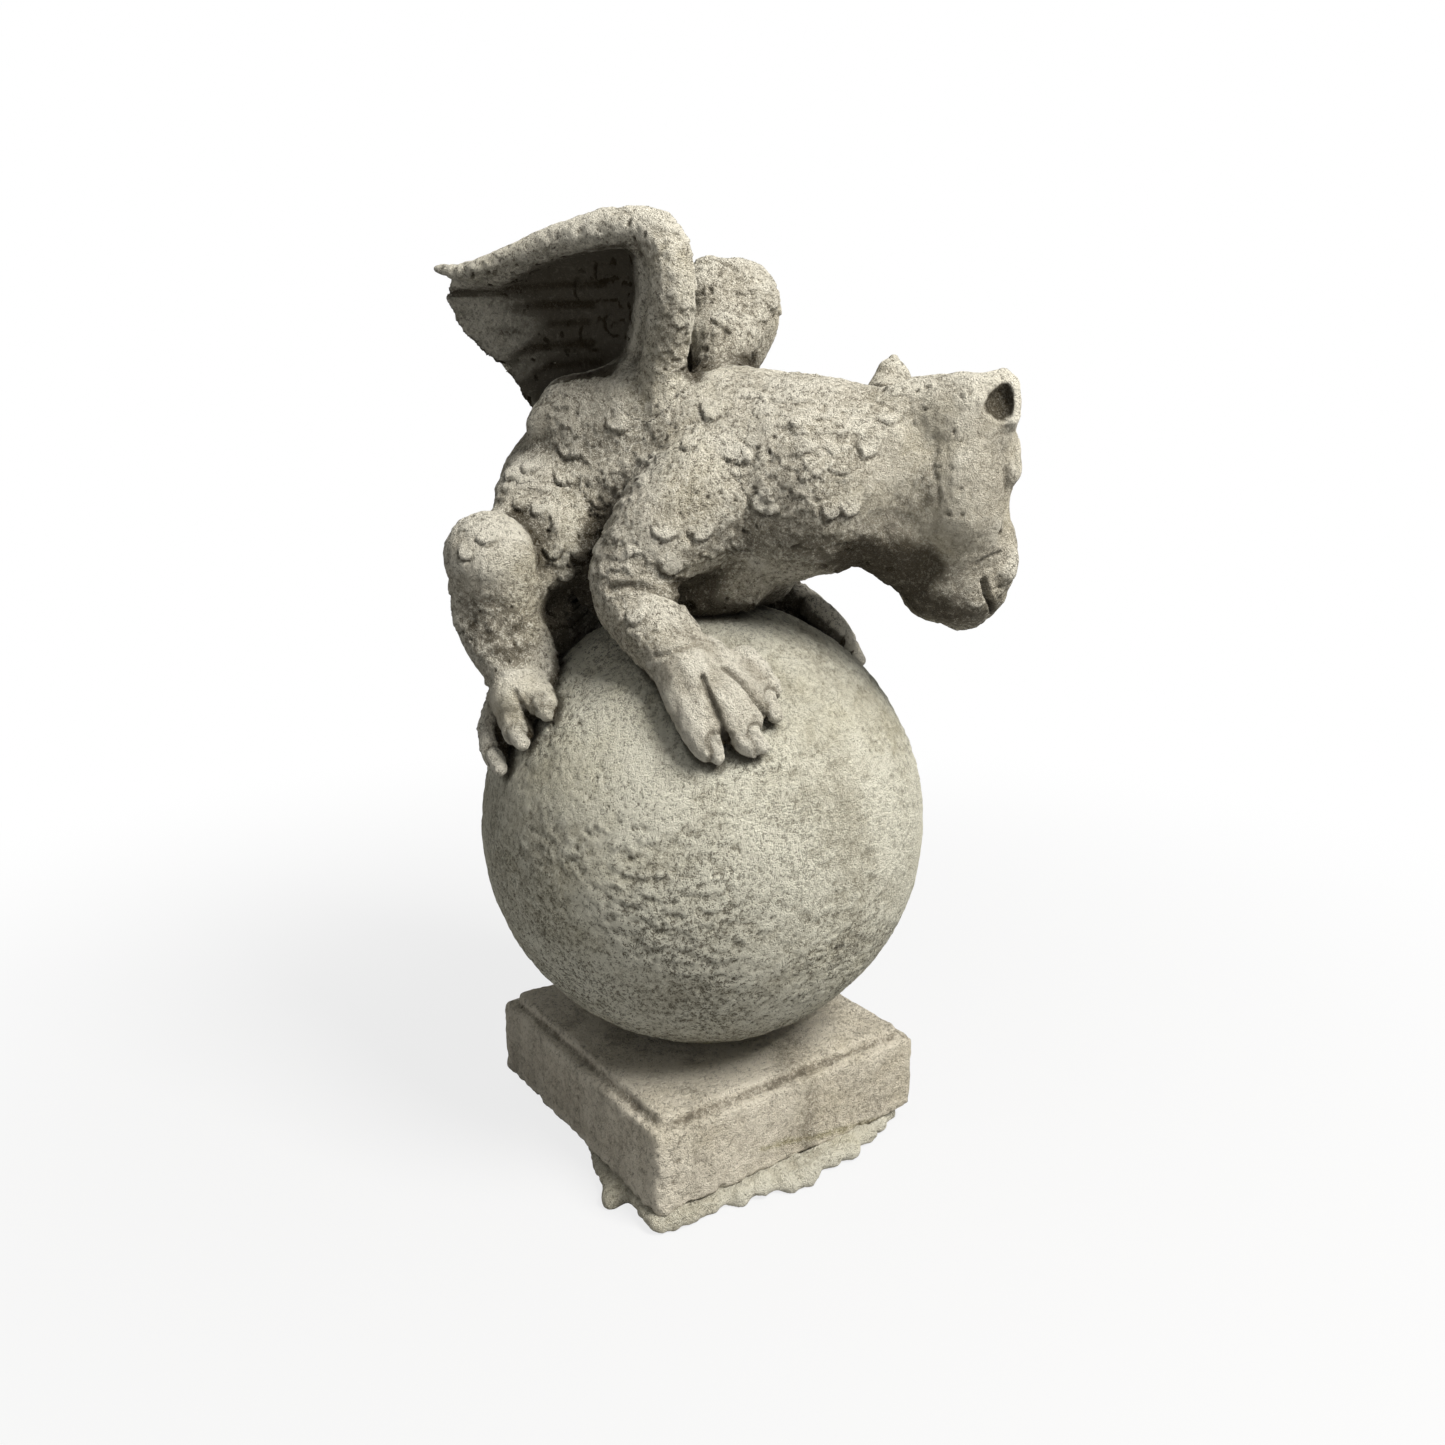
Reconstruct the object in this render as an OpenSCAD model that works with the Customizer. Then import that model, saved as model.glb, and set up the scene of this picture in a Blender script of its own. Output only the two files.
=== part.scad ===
// Winged dragon crouching on a ball, on a stepped plinth: a cast-stone garden finial.
// Origin at the middle of the underside, +Z up, plinth sides along X and Y, millimetres.

/* [Plinth] */
// Side of the plinth block
plinth_w = 152; // [140:1:180]
// Height of the plinth block
plinth_h = 37.8; // [30:0.1:60]
// Side of the raised step on the block
step_w = 141; // [120:1:150]
// Height of the raised step
step_h = 5.5; // [3:0.1:12]
// Rounding of the upright edges
plinth_edge_r = 3; // [1:0.5:6]

/* [Mortar] */
// Thickness of the bedding mortar left under the plinth
mortar_h = 7; // [4:0.5:12]
// How far the ragged edge of that mortar wanders in and out
mortar_ripple = 2; // [0.5:0.5:4]
// How far that mortar stands out past the plinth on the whole
mortar_spill = 2; // [0:0.5:5]
// How far the largest lump of that mortar stands out
mortar_lump = 9; // [4:0.5:14]
// Thickness of the mortar bed under the ball
ball_bed_h = 2; // [1:0.5:5]
// Thickness of the mortar bed under the belly
figure_bed_h = 3; // [2:0.5:6]
// Diameter of the mortar bed under the belly
figure_bed_d = 46; // [40:1:54]

/* [Ball] */
// Diameter of the ball
ball_d = 218; // [200:1:230]
// Diameter of the flat seat under the ball
ball_seat_d = 72; // [50:1:90]

/* [Body] */
// Direction that the chest faces, measured from +X
heading = -65; // [-180:1:180]
// Reach of the rump behind the axis of the ball
rump_reach = 108; // [98:1:116]
// Reach of the chest to the neck joint, ahead of the axis
chest_reach = 45; // [40:1:50]
// Width of the body
body_w = 98; // [88:1:106]
// Height of the body
body_h = 94; // [88:1:100]

/* [Head] */
// Width of the neck
neck_w = 84; // [72:1:92]
// Height of the neck
neck_h = 93; // [84:1:98]
// Distance of the head ahead of the axis
head_reach = 112; // [104:1:120]
// Distance of the head to the left of the axis
head_aside = 32; // [20:1:40]
// Turn of the face to the left
head_turn = 64; // [40:1:75]
// Width across the cheeks
head_w = 72; // [64:1:82]
// Depth of the head from brow to nape
head_d = 64; // [56:1:72]
// Length of the head from chin to crown
head_h = 106; // [98:1:114]
// Length of an ear
ear_l = 28; // [20:1:36]

/* [Wings] */
// Height of the right wing arm above the ball
right_wing_rise = 168; // [155:1:180]
// Height of the left wing arm above the ball
left_wing_rise = 156; // [145:1:170]
// Reach of the wing tip behind the axis
wing_reach = 107; // [95:1:120]
// Distance of each wing arm from the middle plane
wing_aside = 40; // [34:1:44]
// Thickness of the wing arm
wing_arm_d = 21; // [17:0.5:25]
// Thickness of the wing sheet
wing_sheet_t = 7; // [5:0.5:10]
// Depth of the hollow in the wing
wing_cup = 11; // [4:0.5:14]
// Depth of the scallops in the trailing edge
scallop_depth = 2.4; // [0:0.2:4]
// Number of scallops in the trailing edge
scallops = 6; // [4:1:8]

/* [Legs] */
// Thickness of the upper arm
upper_arm_d = 50; // [42:1:54]
// Thickness of the forearm
forearm_d = 35; // [30:1:39]
// Thickness of the knee
knee_d = 47; // [40:1:52]
// Thickness of the ankle
ankle_d = 29; // [24:1:33]
// Thickness of a toe
toe_d = 16; // [13:0.5:18]
// How much higher the left forepaw rests on the ball, as an angle
left_paw_raise = 7; // [0:1:12]
// How much further back the left forepaw rests, as an angle
left_paw_back = 8; // [0:1:12]

/* [Tail] */
// Thickness of the tail at its root
tail_d = 32; // [24:1:38]

/* [Fixings] */
// Diameter of the steel rod through plinth, ball and belly
rod_d = 12; // [8:1:16]
// Reach of the rod into the belly
rod_grip = 34; // [20:1:45]
// Stone left under the rod in the plinth
rod_floor = 10; // [6:1:20]
// Diameter of the neck dowel
neck_dowel_d = 12; // [8:1:16]
// Length of the neck dowel
neck_dowel_l = 60; // [40:1:70]
// Diameter of the wing, leg and tail dowels
dowel_d = 8; // [6:0.5:10]
// Length of the wing, leg and tail dowels
dowel_l = 40; // [30:1:46]
// Room round a rod or dowel in its hole
dowel_room = 0.25; // [0.1:0.05:0.5]
// Joint between two stones that meet
joint_gap = 0.3; // [0.1:0.05:0.6]

/* [Hidden] */
$fn = 64;

stone = "#8f8a7b";
pale_stone = "#a19c8d";
mortar = "#c9c5b8";
steel = "#7d8288";

ball_r = ball_d / 2;
plinth_top = mortar_h + plinth_h + step_h;
ball_seat = plinth_top + ball_bed_h;
ball_z = ball_seat + sqrt(ball_r * ball_r - ball_seat_d * ball_seat_d / 4);
far = 400;
ring_steps = 3;
cap_rings = 3;

// Geometry of swept forms

function unit(v) = v / norm(v);

function mix(a, b, t) = a * (1 - t) + b * t;

function curve_at(p, q, r, s, t) = 0.5 * (2 * q + (r - p) * t + (2 * p - 5 * q + 4 * r - s) * t * t
    + (3 * q - p - 3 * r + s) * t * t * t);

// A smooth curve through the given rows, with extra rows between them
function smooth(rows) = let (last = len(rows) - 1) [
    for (i = [0 : last - 1]) for (k = [0 : ring_steps - 1])
        curve_at(rows[max(i - 1, 0)], rows[i], rows[i + 1], rows[min(i + 2, last)], k / ring_steps),
    rows[last]];

function place(row) = [row[0], row[1], row[2]];

function tangent(rows, i) =
    unit(place(rows[min(i + 1, len(rows) - 1)]) - place(rows[max(i - 1, 0)]));

function ring(centre, along, hint, a, b, sides) =
    let (across = unit(cross(hint, along)), over = cross(along, across))
    [for (k = [0 : sides - 1])
        centre + across * a * cos(360 * k / sides) + over * b * sin(360 * k / sides)];

// Rings that close an end with a dome; way is -1 at the start and 1 at the end
function dome(row, along, hint, sides, way, grow) = [for (j = [1 : cap_rings])
    let (k = way > 0 ? j : cap_rings + 1 - j, turn = 90 * k / (cap_rings + 1),
        reach = min(row[3], row[4]) + grow)
    ring(place(row) + along * way * reach * sin(turn), along, hint,
        (row[3] + grow) * cos(turn), (row[4] + grow) * cos(turn), sides)];

// A solid swept along rows of [x, y, z, half width, half height], domed at both ends
module sweep(rows, hint, sides, grow = 0) {
    last = len(rows) - 1;
    head = tangent(rows, 0);
    tail = tangent(rows, last);
    rings = concat(dome(rows[0], head, hint, sides, -1, grow),
        [for (i = [0 : last])
            ring(place(rows[i]), tangent(rows, i), hint, rows[i][3] + grow, rows[i][4] + grow, sides)],
        dome(rows[last], tail, hint, sides, 1, grow));
    count = len(rings);
    first_tip = place(rows[0]) - head * (min(rows[0][3], rows[0][4]) + grow);
    last_tip = place(rows[last]) + tail * (min(rows[last][3], rows[last][4]) + grow);
    points = concat([for (r = rings) for (p = r) p], [first_tip, last_tip]);
    faces = concat(
        [for (i = [0 : count - 2]) for (k = [0 : sides - 1]) let (n = (k + 1) % sides)
            [i * sides + k, (i + 1) * sides + n, i * sides + n]],
        [for (i = [0 : count - 2]) for (k = [0 : sides - 1]) let (n = (k + 1) % sides)
            [i * sides + k, (i + 1) * sides + k, (i + 1) * sides + n]],
        [for (k = [0 : sides - 1]) [count * sides, k, (k + 1) % sides]],
        [for (k = [0 : sides - 1]) let (base = (count - 1) * sides)
            [count * sides + 1, base + (k + 1) % sides, base + k]]);
    polyhedron(points, faces);
}

// Round limb through rows of [x, y, z, radius]
module limb(rows, hint, sides) {
    sweep(smooth([for (r = rows) [r[0], r[1], r[2], r[3], r[3]]]), hint, sides);
}

// Joins the carved forms inside it into one closed surface
module carved() {
    resize([0, 0, 0]) children();
}

// A point over the ball: direction and height angle in degrees, distance over the surface
function on_ball(turn, rise, over) = (ball_r + over)
    * [cos(turn) * cos(rise), sin(turn) * cos(rise), sin(rise)];

// The same point with the radius of a limb there
function limb_on_ball(turn, rise, over, radius) = concat(on_ball(turn, rise, over), [radius]);

// Puts what is modelled about the middle of the ball, facing +X, in its place
module figure() {
    translate([0, 0, ball_z]) rotate([0, 0, heading]) children();
}

module left_side() {
    mirror([0, 1, 0]) children();
}

module rounded_slab(w, h) {
    linear_extrude(h) {
        square([w, w - 2 * plinth_edge_r], center = true);
        square([w - 2 * plinth_edge_r, w], center = true);
        for (x = [-1, 1], y = [-1, 1])
            translate([x, y] * (w / 2 - plinth_edge_r)) circle(plinth_edge_r);
    }
}

// A round bar from one point along a direction; room widens and lengthens it for its hole
module bar(middle, along, d, l, room = 0) {
    turn = atan2(along[1], along[0]);
    lean = acos(unit(along)[2]);
    translate(middle) rotate([0, lean, turn])
        cylinder(d = d + 2 * room, h = l + 2 * room, center = true);
}

// Places that the limbs and their dowels share, on the right side

shoulder = [0.444 * chest_reach, -0.306 * body_w, ball_r + 0.553 * body_h];
upper_arm = [0.133 * chest_reach, -0.480 * body_w, ball_r + 0.362 * body_h];
hip = [-0.430 * rump_reach, -0.327 * body_w, ball_r + 0.362 * body_h];
thigh = [-0.561 * rump_reach, -0.510 * body_w, ball_r + 0.277 * body_h];
tail_root = [-0.822 * rump_reach, 0.143 * body_w, ball_r + 0.489 * body_h];
tail_bend = [-0.963 * rump_reach, 0.245 * body_w, ball_r + 0.255 * body_h];

// Places of the dowels, as middle point and direction

neck_dowel_at = [chest_reach, 0, ball_r + 0.645 * neck_h];
neck_dowel_along = [1, 0, 0];
wing_dowel_at = [0, -0.67 * wing_aside, ball_r + 0.614 * left_wing_rise];
wing_dowel_along = [0.2, -0.23, 1];
foreleg_dowel_at = mix(shoulder, upper_arm, 0.86);
foreleg_dowel_along = upper_arm - shoulder;
hind_leg_dowel_at = mix(hip, thigh, 0.76);
hind_leg_dowel_along = thigh - hip;
tail_dowel_at = mix(tail_root, tail_bend, 0.72);
tail_dowel_along = tail_bend - tail_root;

module neck_dowel_bar(room = 0) {
    bar(neck_dowel_at, neck_dowel_along, neck_dowel_d, neck_dowel_l, room);
}

module wing_dowel_bar(room = 0) {
    bar(wing_dowel_at, wing_dowel_along, dowel_d, dowel_l, room);
}

module foreleg_dowel_bar(room = 0) {
    bar(foreleg_dowel_at, foreleg_dowel_along, dowel_d, dowel_l, room);
}

module hind_leg_dowel_bar(room = 0) {
    bar(hind_leg_dowel_at, hind_leg_dowel_along, dowel_d, dowel_l, room);
}

module tail_dowel_bar(room = 0) {
    bar(tail_dowel_at, tail_dowel_along, dowel_d, dowel_l, room);
}

// The steel rod, from the floor of its hole in the plinth up into the belly
module rod_bar(room = 0) {
    foot = mortar_h + rod_floor;
    top = ball_z + ball_r + figure_bed_h + rod_grip;
    translate([0, 0, foot - room]) cylinder(d = rod_d + 2 * room, h = top - foot + 2 * room);
}

// Forms of the figure, about the middle of the ball and facing +X

// Body from rump to chest: distance ahead, then shares of height for its middle, of width and of height
module body_form(grow = 0) {
    rump_share = 0.95;
    rows = [
        [-(rump_reach - rump_share * body_h / 2), 0.510, 1.06, rump_share],
        [-0.32 * rump_reach, 0.489, 1.00, 1.02],
        [0, 0.532, 0.97, 1.12],
        [0.5 * chest_reach, 0.596, 0.95, 1.17],
        [chest_reach, 0.628, 0.90, 1.04],
        [1.3 * chest_reach, 0.638, 0.86, 0.98]];
    sweep(smooth([for (r = rows) [r[0], 0, ball_r + r[1] * body_h, r[2] * body_w / 2, r[3] * body_h / 2]]),
        [0, 0, 1], 20, grow);
}

// Belly between the legs, lowered onto the ball, in the same shares
module belly_form(grow = 0) {
    rows = [[-0.50, 0.170, 0.92, 0.78], [-0.25, 0.128, 0.90, 0.70], [0, 0.213, 0.74, 0.66]];
    sweep(smooth([for (r = rows) [r[0] * rump_reach, 0, ball_r + r[1] * body_h, r[2] * body_w / 2,
        r[3] * body_h / 2]]), [0, 0, 1], 16, grow);
}

// Neck from inside the chest to the nape: shares of the way ahead, of the way aside, of height
// for its middle, of width and of height
module neck_form(grow = 0) {
    rows = [
        [0.2, 0.00, 0.624, 1.04, 1.03],
        [0.4, 0.00, 0.656, 1.02, 0.98],
        [0.55, 0.10, 0.685, 0.98, 0.865],
        [0.72, 0.40, 0.646, 0.93, 0.855],
        [0.86, 0.72, 0.580, 0.86, 0.93],
        [0.96, 0.95, 0.510, 0.70, 0.95]];
    sweep(smooth([for (r = rows) [r[0] * head_reach, r[1] * head_aside, ball_r + r[2] * neck_h,
        r[3] * neck_w / 2, r[4] * neck_h / 2]]), [0, 0, 1], 20, grow);
}

chin = ball_r - 0.057 * head_h;
head_axis = [head_reach, head_aside, 0];
facing = [cos(head_turn), sin(head_turn), 0];

// Head from chin to crown: share of its length, then shares of depth for its middle and its depth,
// and share of width
module head_form(grow = 0) {
    rows = [
        [0.00, 0.156, 0.28, 0.26],
        [0.06, 0.125, 0.68, 0.58],
        [0.15, 0.094, 0.86, 0.70],
        [0.28, 0.094, 0.92, 0.75],
        [0.38, 0.016, 0.82, 0.85],
        [0.50, -0.078, 0.88, 0.96],
        [0.66, -0.094, 0.96, 1.00],
        [0.78, -0.141, 0.88, 0.94],
        [0.85, -0.172, 0.62, 0.76]];
    sweep(smooth([for (r = rows) concat(head_axis + [0, 0, chin + r[0] * head_h] + r[1] * head_d * facing,
        [r[3] * head_w / 2, r[2] * head_d / 2])]), facing, 20, grow);
}

// One pointed ear; side is -1 for the right one and 1 for the left one, rise is the share of the
// head's length at its root
module ear(side, rise) {
    out = side * [-sin(head_turn), cos(head_turn), 0];
    root = head_axis + [0, 0, chin + rise * head_h] + 0.38 * head_w * out - 0.094 * head_d * facing;
    along = unit(0.4 * out + 0.1 * facing + [0, 0, 1]);
    limb([concat(root, [0.43 * ear_l]), concat(root + 0.5 * ear_l * along, [0.32 * ear_l]),
        concat(root + 0.9 * ear_l * along, [0.11 * ear_l])], facing, 8);
}

// The part of space behind the neck joint, or ahead of it
module neck_joint_side(ahead) {
    translate([ahead ? chest_reach + joint_gap : chest_reach - far, -far / 2, -far / 2])
        cube([far, far, 2 * far]);
}

module torso_form(grow = 0) {
    intersection() {
        union() {
            body_form(grow);
            belly_form(grow);
            neck_form(grow);
        }
        translate([grow, 0, 0]) neck_joint_side(false);
    }
}

module neck_and_head_form(grow = 0) {
    intersection() {
        union() {
            body_form(grow);
            neck_form(grow);
            head_form(grow);
        }
        translate([-grow, 0, 0]) neck_joint_side(true);
    }
}

module ball_form(over) {
    sphere(r = ball_r + over, $fn = 96);
}

// A toe from the paw to the tip of its claw, through rows of direction, height angle, and shares
// of the toe's thickness for its distance over the ball and its own thickness
module toe(rows, raise = 0, back = 0) {
    limb([for (r = rows) limb_on_ball(r[0] - back, r[1] + raise, r[2] * toe_d, r[3] * toe_d / 2)],
        [1, 2, ball_r], 8);
}

// Arm and paw of the right side; raise and back move the paw over the ball
module foreleg_form(raise = 0, back = 0) {
    elbow = [-0.089 * chest_reach, -0.592 * body_w, ball_r + 0.149 * body_h]
        + raise * ball_r * [0.0041, 0.0018, 0.0032];
    wrist = on_ball(-71 - back, 55 + raise, 0.257 * forearm_d);
    limb([
        concat(shoulder, [0.62 * upper_arm_d]),
        concat(upper_arm, [0.50 * upper_arm_d]),
        concat(elbow, [0.53 * forearm_d]),
        concat(mix(elbow, wrist, 0.5) - forearm_d * [0, 0.03, 0.06], [0.50 * forearm_d]),
        concat(wrist, [0.44 * forearm_d]),
        limb_on_ball(-62 - back, 47 + raise, 0.20 * forearm_d, 0.40 * forearm_d)], [1, 0.4, 0.2], 12);
    toe([[-70, 51, 0.50, 1.3], [-63.5, 41, 0.44, 1.15], [-60, 35, 0.38, 1], [-57.2, 31, 0.25, 0.8],
        [-56, 29, 0.19, 0.35]], raise, back);
    toe([[-63, 50, 0.56, 1.3], [-56, 43, 0.50, 1.15], [-51, 37, 0.41, 1], [-47.8, 32.4, 0.25, 0.8],
        [-46.6, 30.6, 0.19, 0.35]], raise, back);
    toe([[-58, 53, 0.56, 1.2], [-50.5, 48, 0.50, 1.05], [-44.8, 43.5, 0.38, 0.95], [-41, 40, 0.25, 0.75],
        [-39.8, 38.4, 0.19, 0.35]], raise, back);
}

module hind_leg_form() {
    limb([
        concat(hip, [0.58 * knee_d]),
        concat(thigh, [0.52 * knee_d]),
        [-0.635 * rump_reach, -0.655 * body_w, ball_r + 0.18 * body_h, 0.52 * knee_d],
        [-0.630 * rump_reach, -0.715 * body_w, ball_r - 0.053 * body_h, 0.46 * knee_d],
        limb_on_ball(-127, 42, 0.38 * ankle_d, 0.62 * ankle_d),
        limb_on_ball(-121, 37, 0.31 * ankle_d, 0.50 * ankle_d)], [1, 0.4, 0.2], 12);
    toe([[-121, 39, 0.56, 1.25], [-115, 38.8, 0.44, 1.05], [-110.5, 37.6, 0.34, 0.9],
        [-108, 36.6, 0.25, 0.7], [-106.8, 36, 0.19, 0.35]]);
    toe([[-123, 37, 0.56, 1.25], [-119.5, 33, 0.47, 1.1], [-115.6, 30.2, 0.38, 0.95],
        [-113.4, 28.4, 0.25, 0.75], [-112.6, 27.2, 0.19, 0.35]]);
    toe([[-127, 35, 0.56, 1.25], [-127, 28, 0.44, 1.05], [-123, 23.5, 0.34, 0.9], [-120.6, 21, 0.25, 0.7],
        [-119.6, 19.4, 0.19, 0.35]]);
}

// The wing arm from the back over its bend to the tip, on the right side, as distance ahead,
// aside and over the ball, and share of the arm's thickness
function wing_arm_rows(rise) = [
    [-0.037 * wing_reach, -0.55 * wing_aside, 0.46 * rise, 0.66],
    [-0.028 * wing_reach, -0.70 * wing_aside, 0.64 * rise, 0.52],
    [0.084 * wing_reach, -1.00 * wing_aside, 0.83 * rise, 0.50],
    [0.056 * wing_reach, -1.06 * wing_aside, 0.96 * rise, 0.50],
    [-0.084 * wing_reach, -1.15 * wing_aside, rise, 0.44],
    [-0.37 * wing_reach, -1.32 * wing_aside, 0.98 * rise, 0.36],
    [-0.66 * wing_reach, -1.45 * wing_aside, 0.93 * rise, 0.27],
    [-0.86 * wing_reach, -1.50 * wing_aside, 0.91 * rise, 0.20],
    [-wing_reach, -1.50 * wing_aside, 0.925 * rise, 0.11]];

// The trailing edge from the back to the tip
function wing_edge_rows(rise) = [
    [-0.71 * wing_reach, -0.60 * wing_aside, 0.47 * rise],
    [-0.75 * wing_reach, -0.65 * wing_aside, 0.54 * rise],
    [-0.79 * wing_reach, -0.82 * wing_aside, 0.61 * rise],
    [-0.83 * wing_reach, -1.00 * wing_aside, 0.665 * rise],
    [-0.91 * wing_reach, -1.20 * wing_aside, 0.725 * rise],
    [-0.98 * wing_reach, -1.40 * wing_aside, 0.82 * rise],
    [-wing_reach, -1.48 * wing_aside, 0.90 * rise]];

// A point at share t of the way along a list of rows
function along_rows(rows, t) = let (spans = len(rows) - 1, i = min(floor(t * spans), spans - 1))
    curve_at(rows[max(i - 1, 0)], rows[i], rows[i + 1], rows[min(i + 2, spans)], t * spans - i);

// The hollow sheet between arm and trailing edge; t runs along the arm, s towards the edge
function sheet_point(rise, s, t) =
    let (arm = place(along_rows(wing_arm_rows(rise), t)), edge = along_rows(wing_edge_rows(rise), t),
        wave = scallop_depth * (abs(sin(180 * scallops * t)) - 0.5))
    mix(arm, edge, s) + [-wave * s * s, 4 * s * (1 - s) * wing_cup, ball_r];

module wing_sheet(rise) {
    across = 6;
    count = 4 * scallops;
    grid = [for (side = [-1, 1]) for (j = [0 : count]) for (i = [0 : across])
        sheet_point(rise, i / across, j / count)
            + [0, side * mix(wing_sheet_t, 0.6 * wing_sheet_t, i / across) / 2, 0]];
    layer = (count + 1) * (across + 1);
    function at(side, i, j) = side * layer + j * (across + 1) + i;
    rim = concat([for (i = [0 : across]) [i, 0]], [for (j = [1 : count]) [across, j]],
        [for (i = [across - 1 : -1 : 0]) [i, count]], [for (j = [count - 1 : -1 : 1]) [0, j]]);
    faces = concat(
        [for (j = [0 : count - 1]) for (i = [0 : across - 1])
            each [[at(0, i, j), at(0, i + 1, j), at(0, i + 1, j + 1)],
                [at(0, i, j), at(0, i + 1, j + 1), at(0, i, j + 1)],
                [at(1, i, j), at(1, i + 1, j + 1), at(1, i + 1, j)],
                [at(1, i, j), at(1, i, j + 1), at(1, i + 1, j + 1)]]],
        [for (k = [0 : len(rim) - 1]) let (p = rim[k], q = rim[(k + 1) % len(rim)])
            each [[at(0, p[0], p[1]), at(1, q[0], q[1]), at(0, q[0], q[1])],
                [at(0, p[0], p[1]), at(1, p[0], p[1]), at(1, q[0], q[1])]]]);
    polyhedron(grid, faces);
}

module wing_form(rise) {
    limb([for (r = wing_arm_rows(rise)) [r[0], r[1], ball_r + r[2], r[3] * wing_arm_d]],
        [0.2, 1, 0.1], 10);
    wing_sheet(rise);
}

// Sub-parts

module plinth() {
    color(stone) difference() {
        translate([0, 0, mortar_h]) {
            rounded_slab(plinth_w, plinth_h);
            translate([0, 0, plinth_h]) rounded_slab(step_w, step_h);
        }
        rod_bar(dowel_room);
    }
}

// Lumps of mortar that stand out: direction, width as an angle, share of the largest one
mortar_lumps = [[203, 7, 0.8], [225, 6, 0.4], [254, 8, 0.8], [270, 8, 1], [288, 8, 0.8],
    [316, 10, -0.9], [80, 12, 0.5]];

// Ragged outline: a square whose edge ripples, with lumps
module bedding_mortar() {
    function edge(a) = plinth_w / 2 / max(abs(cos(a)), abs(sin(a)));
    function ripple(a) = mortar_ripple * (0.5 * sin(11 * a) + 0.4 * sin(23 * a + 70));
    function lump(a, m) = m[2] * mortar_lump * exp(-pow((a - m[0]) / m[1], 2));
    function lumps(a, i = 0) = i == len(mortar_lumps) ? 0 : lump(a, mortar_lumps[i]) + lumps(a, i + 1);
    color(mortar) linear_extrude(mortar_h)
        polygon([for (a = [0 : 4 : 356])
            (edge(a) + mortar_spill + ripple(a) + lumps(a)) * [cos(a), sin(a)]]);
}

module ball() {
    color(pale_stone) difference() {
        translate([0, 0, ball_z]) ball_form(0);
        translate([-far / 2, -far / 2, ball_seat - far]) cube(far);
        rod_bar(dowel_room);
    }
}

module ball_bed_mortar() {
    color(mortar) difference() {
        translate([0, 0, plinth_top]) cylinder(d = ball_seat_d, h = ball_bed_h);
        rod_bar(dowel_room);
    }
}

module centre_rod() {
    color(steel) rod_bar();
}

// The cap of mortar on top of the ball, about the middle of the ball
module figure_bed(h, room) {
    intersection() {
        ball_form(h);
        cylinder(d = figure_bed_d + 2 * room, h = far);
    }
}

module figure_bed_mortar() {
    color(mortar) difference() {
        translate([0, 0, ball_z]) figure_bed(figure_bed_h, 0);
        translate([0, 0, ball_z]) ball_form(joint_gap);
        rod_bar(dowel_room);
    }
}

module torso() {
    color(stone) difference() {
        figure() carved() torso_form();
        translate([0, 0, ball_z]) ball_form(joint_gap);
        translate([0, 0, ball_z]) figure_bed(figure_bed_h + joint_gap, joint_gap);
        rod_bar(dowel_room);
        figure() {
            neck_dowel_bar(dowel_room);
            tail_dowel_bar(dowel_room);
            wing_dowel_bar(dowel_room);
            foreleg_dowel_bar(dowel_room);
            hind_leg_dowel_bar(dowel_room);
        }
        figure() left_side() {
            wing_dowel_bar(dowel_room);
            foreleg_dowel_bar(dowel_room);
            hind_leg_dowel_bar(dowel_room);
        }
    }
}

module neck_and_head() {
    color(stone) figure() difference() {
        carved() {
            neck_and_head_form();
            ear(-1, 0.802);
            ear(1, 0.887);
        }
        neck_dowel_bar(dowel_room);
    }
}

module wing(rise) {
    difference() {
        carved() difference() {
            wing_form(rise);
            torso_form(joint_gap);
            neck_and_head_form(joint_gap);
        }
        wing_dowel_bar(dowel_room);
    }
}

module foreleg(raise = 0, back = 0) {
    difference() {
        carved() difference() {
            foreleg_form(raise, back);
            torso_form(joint_gap);
            neck_and_head_form(joint_gap);
            ball_form(joint_gap);
        }
        foreleg_dowel_bar(dowel_room);
    }
}

module hind_leg() {
    difference() {
        carved() difference() {
            hind_leg_form();
            torso_form(joint_gap);
            ball_form(joint_gap);
        }
        hind_leg_dowel_bar(dowel_room);
    }
}

module right_wing() {
    color(stone) figure() wing(right_wing_rise);
}

module left_wing() {
    color(stone) figure() left_side() wing(left_wing_rise);
}

module right_foreleg() {
    color(stone) figure() foreleg();
}

module left_foreleg() {
    color(stone) figure() left_side() foreleg(left_paw_raise, left_paw_back);
}

module right_hind_leg() {
    color(stone) figure() hind_leg();
}

module left_hind_leg() {
    color(stone) figure() left_side() hind_leg();
}

// From the rump down behind the ball and round to the left
module tail() {
    color(stone) figure() difference() {
        carved() difference() {
            limb([
                concat(tail_root, [0.56 * tail_d]),
                concat(tail_bend, [0.50 * tail_d]),
                limb_on_ball(160, 42, 0.28 * tail_d, 0.42 * tail_d),
                limb_on_ball(151, 24, 0.22 * tail_d, 0.36 * tail_d),
                limb_on_ball(136, 12, 0.19 * tail_d, 0.30 * tail_d),
                limb_on_ball(122, 9, 0.16 * tail_d, 0.24 * tail_d),
                limb_on_ball(112, 14, 0.12 * tail_d, 0.17 * tail_d),
                limb_on_ball(106, 22, 0.09 * tail_d, 0.10 * tail_d)], [0.3, 0.2, 1], 12);
            torso_form(joint_gap);
            ball_form(joint_gap);
        }
        tail_dowel_bar(dowel_room);
    }
}

module neck_dowel() {
    color(steel) figure() neck_dowel_bar();
}

module wing_dowels() {
    color(steel) figure() {
        wing_dowel_bar();
        left_side() wing_dowel_bar();
    }
}

module foreleg_dowels() {
    color(steel) figure() {
        foreleg_dowel_bar();
        left_side() foreleg_dowel_bar();
    }
}

module hind_leg_dowels() {
    color(steel) figure() {
        hind_leg_dowel_bar();
        left_side() hind_leg_dowel_bar();
    }
}

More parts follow.
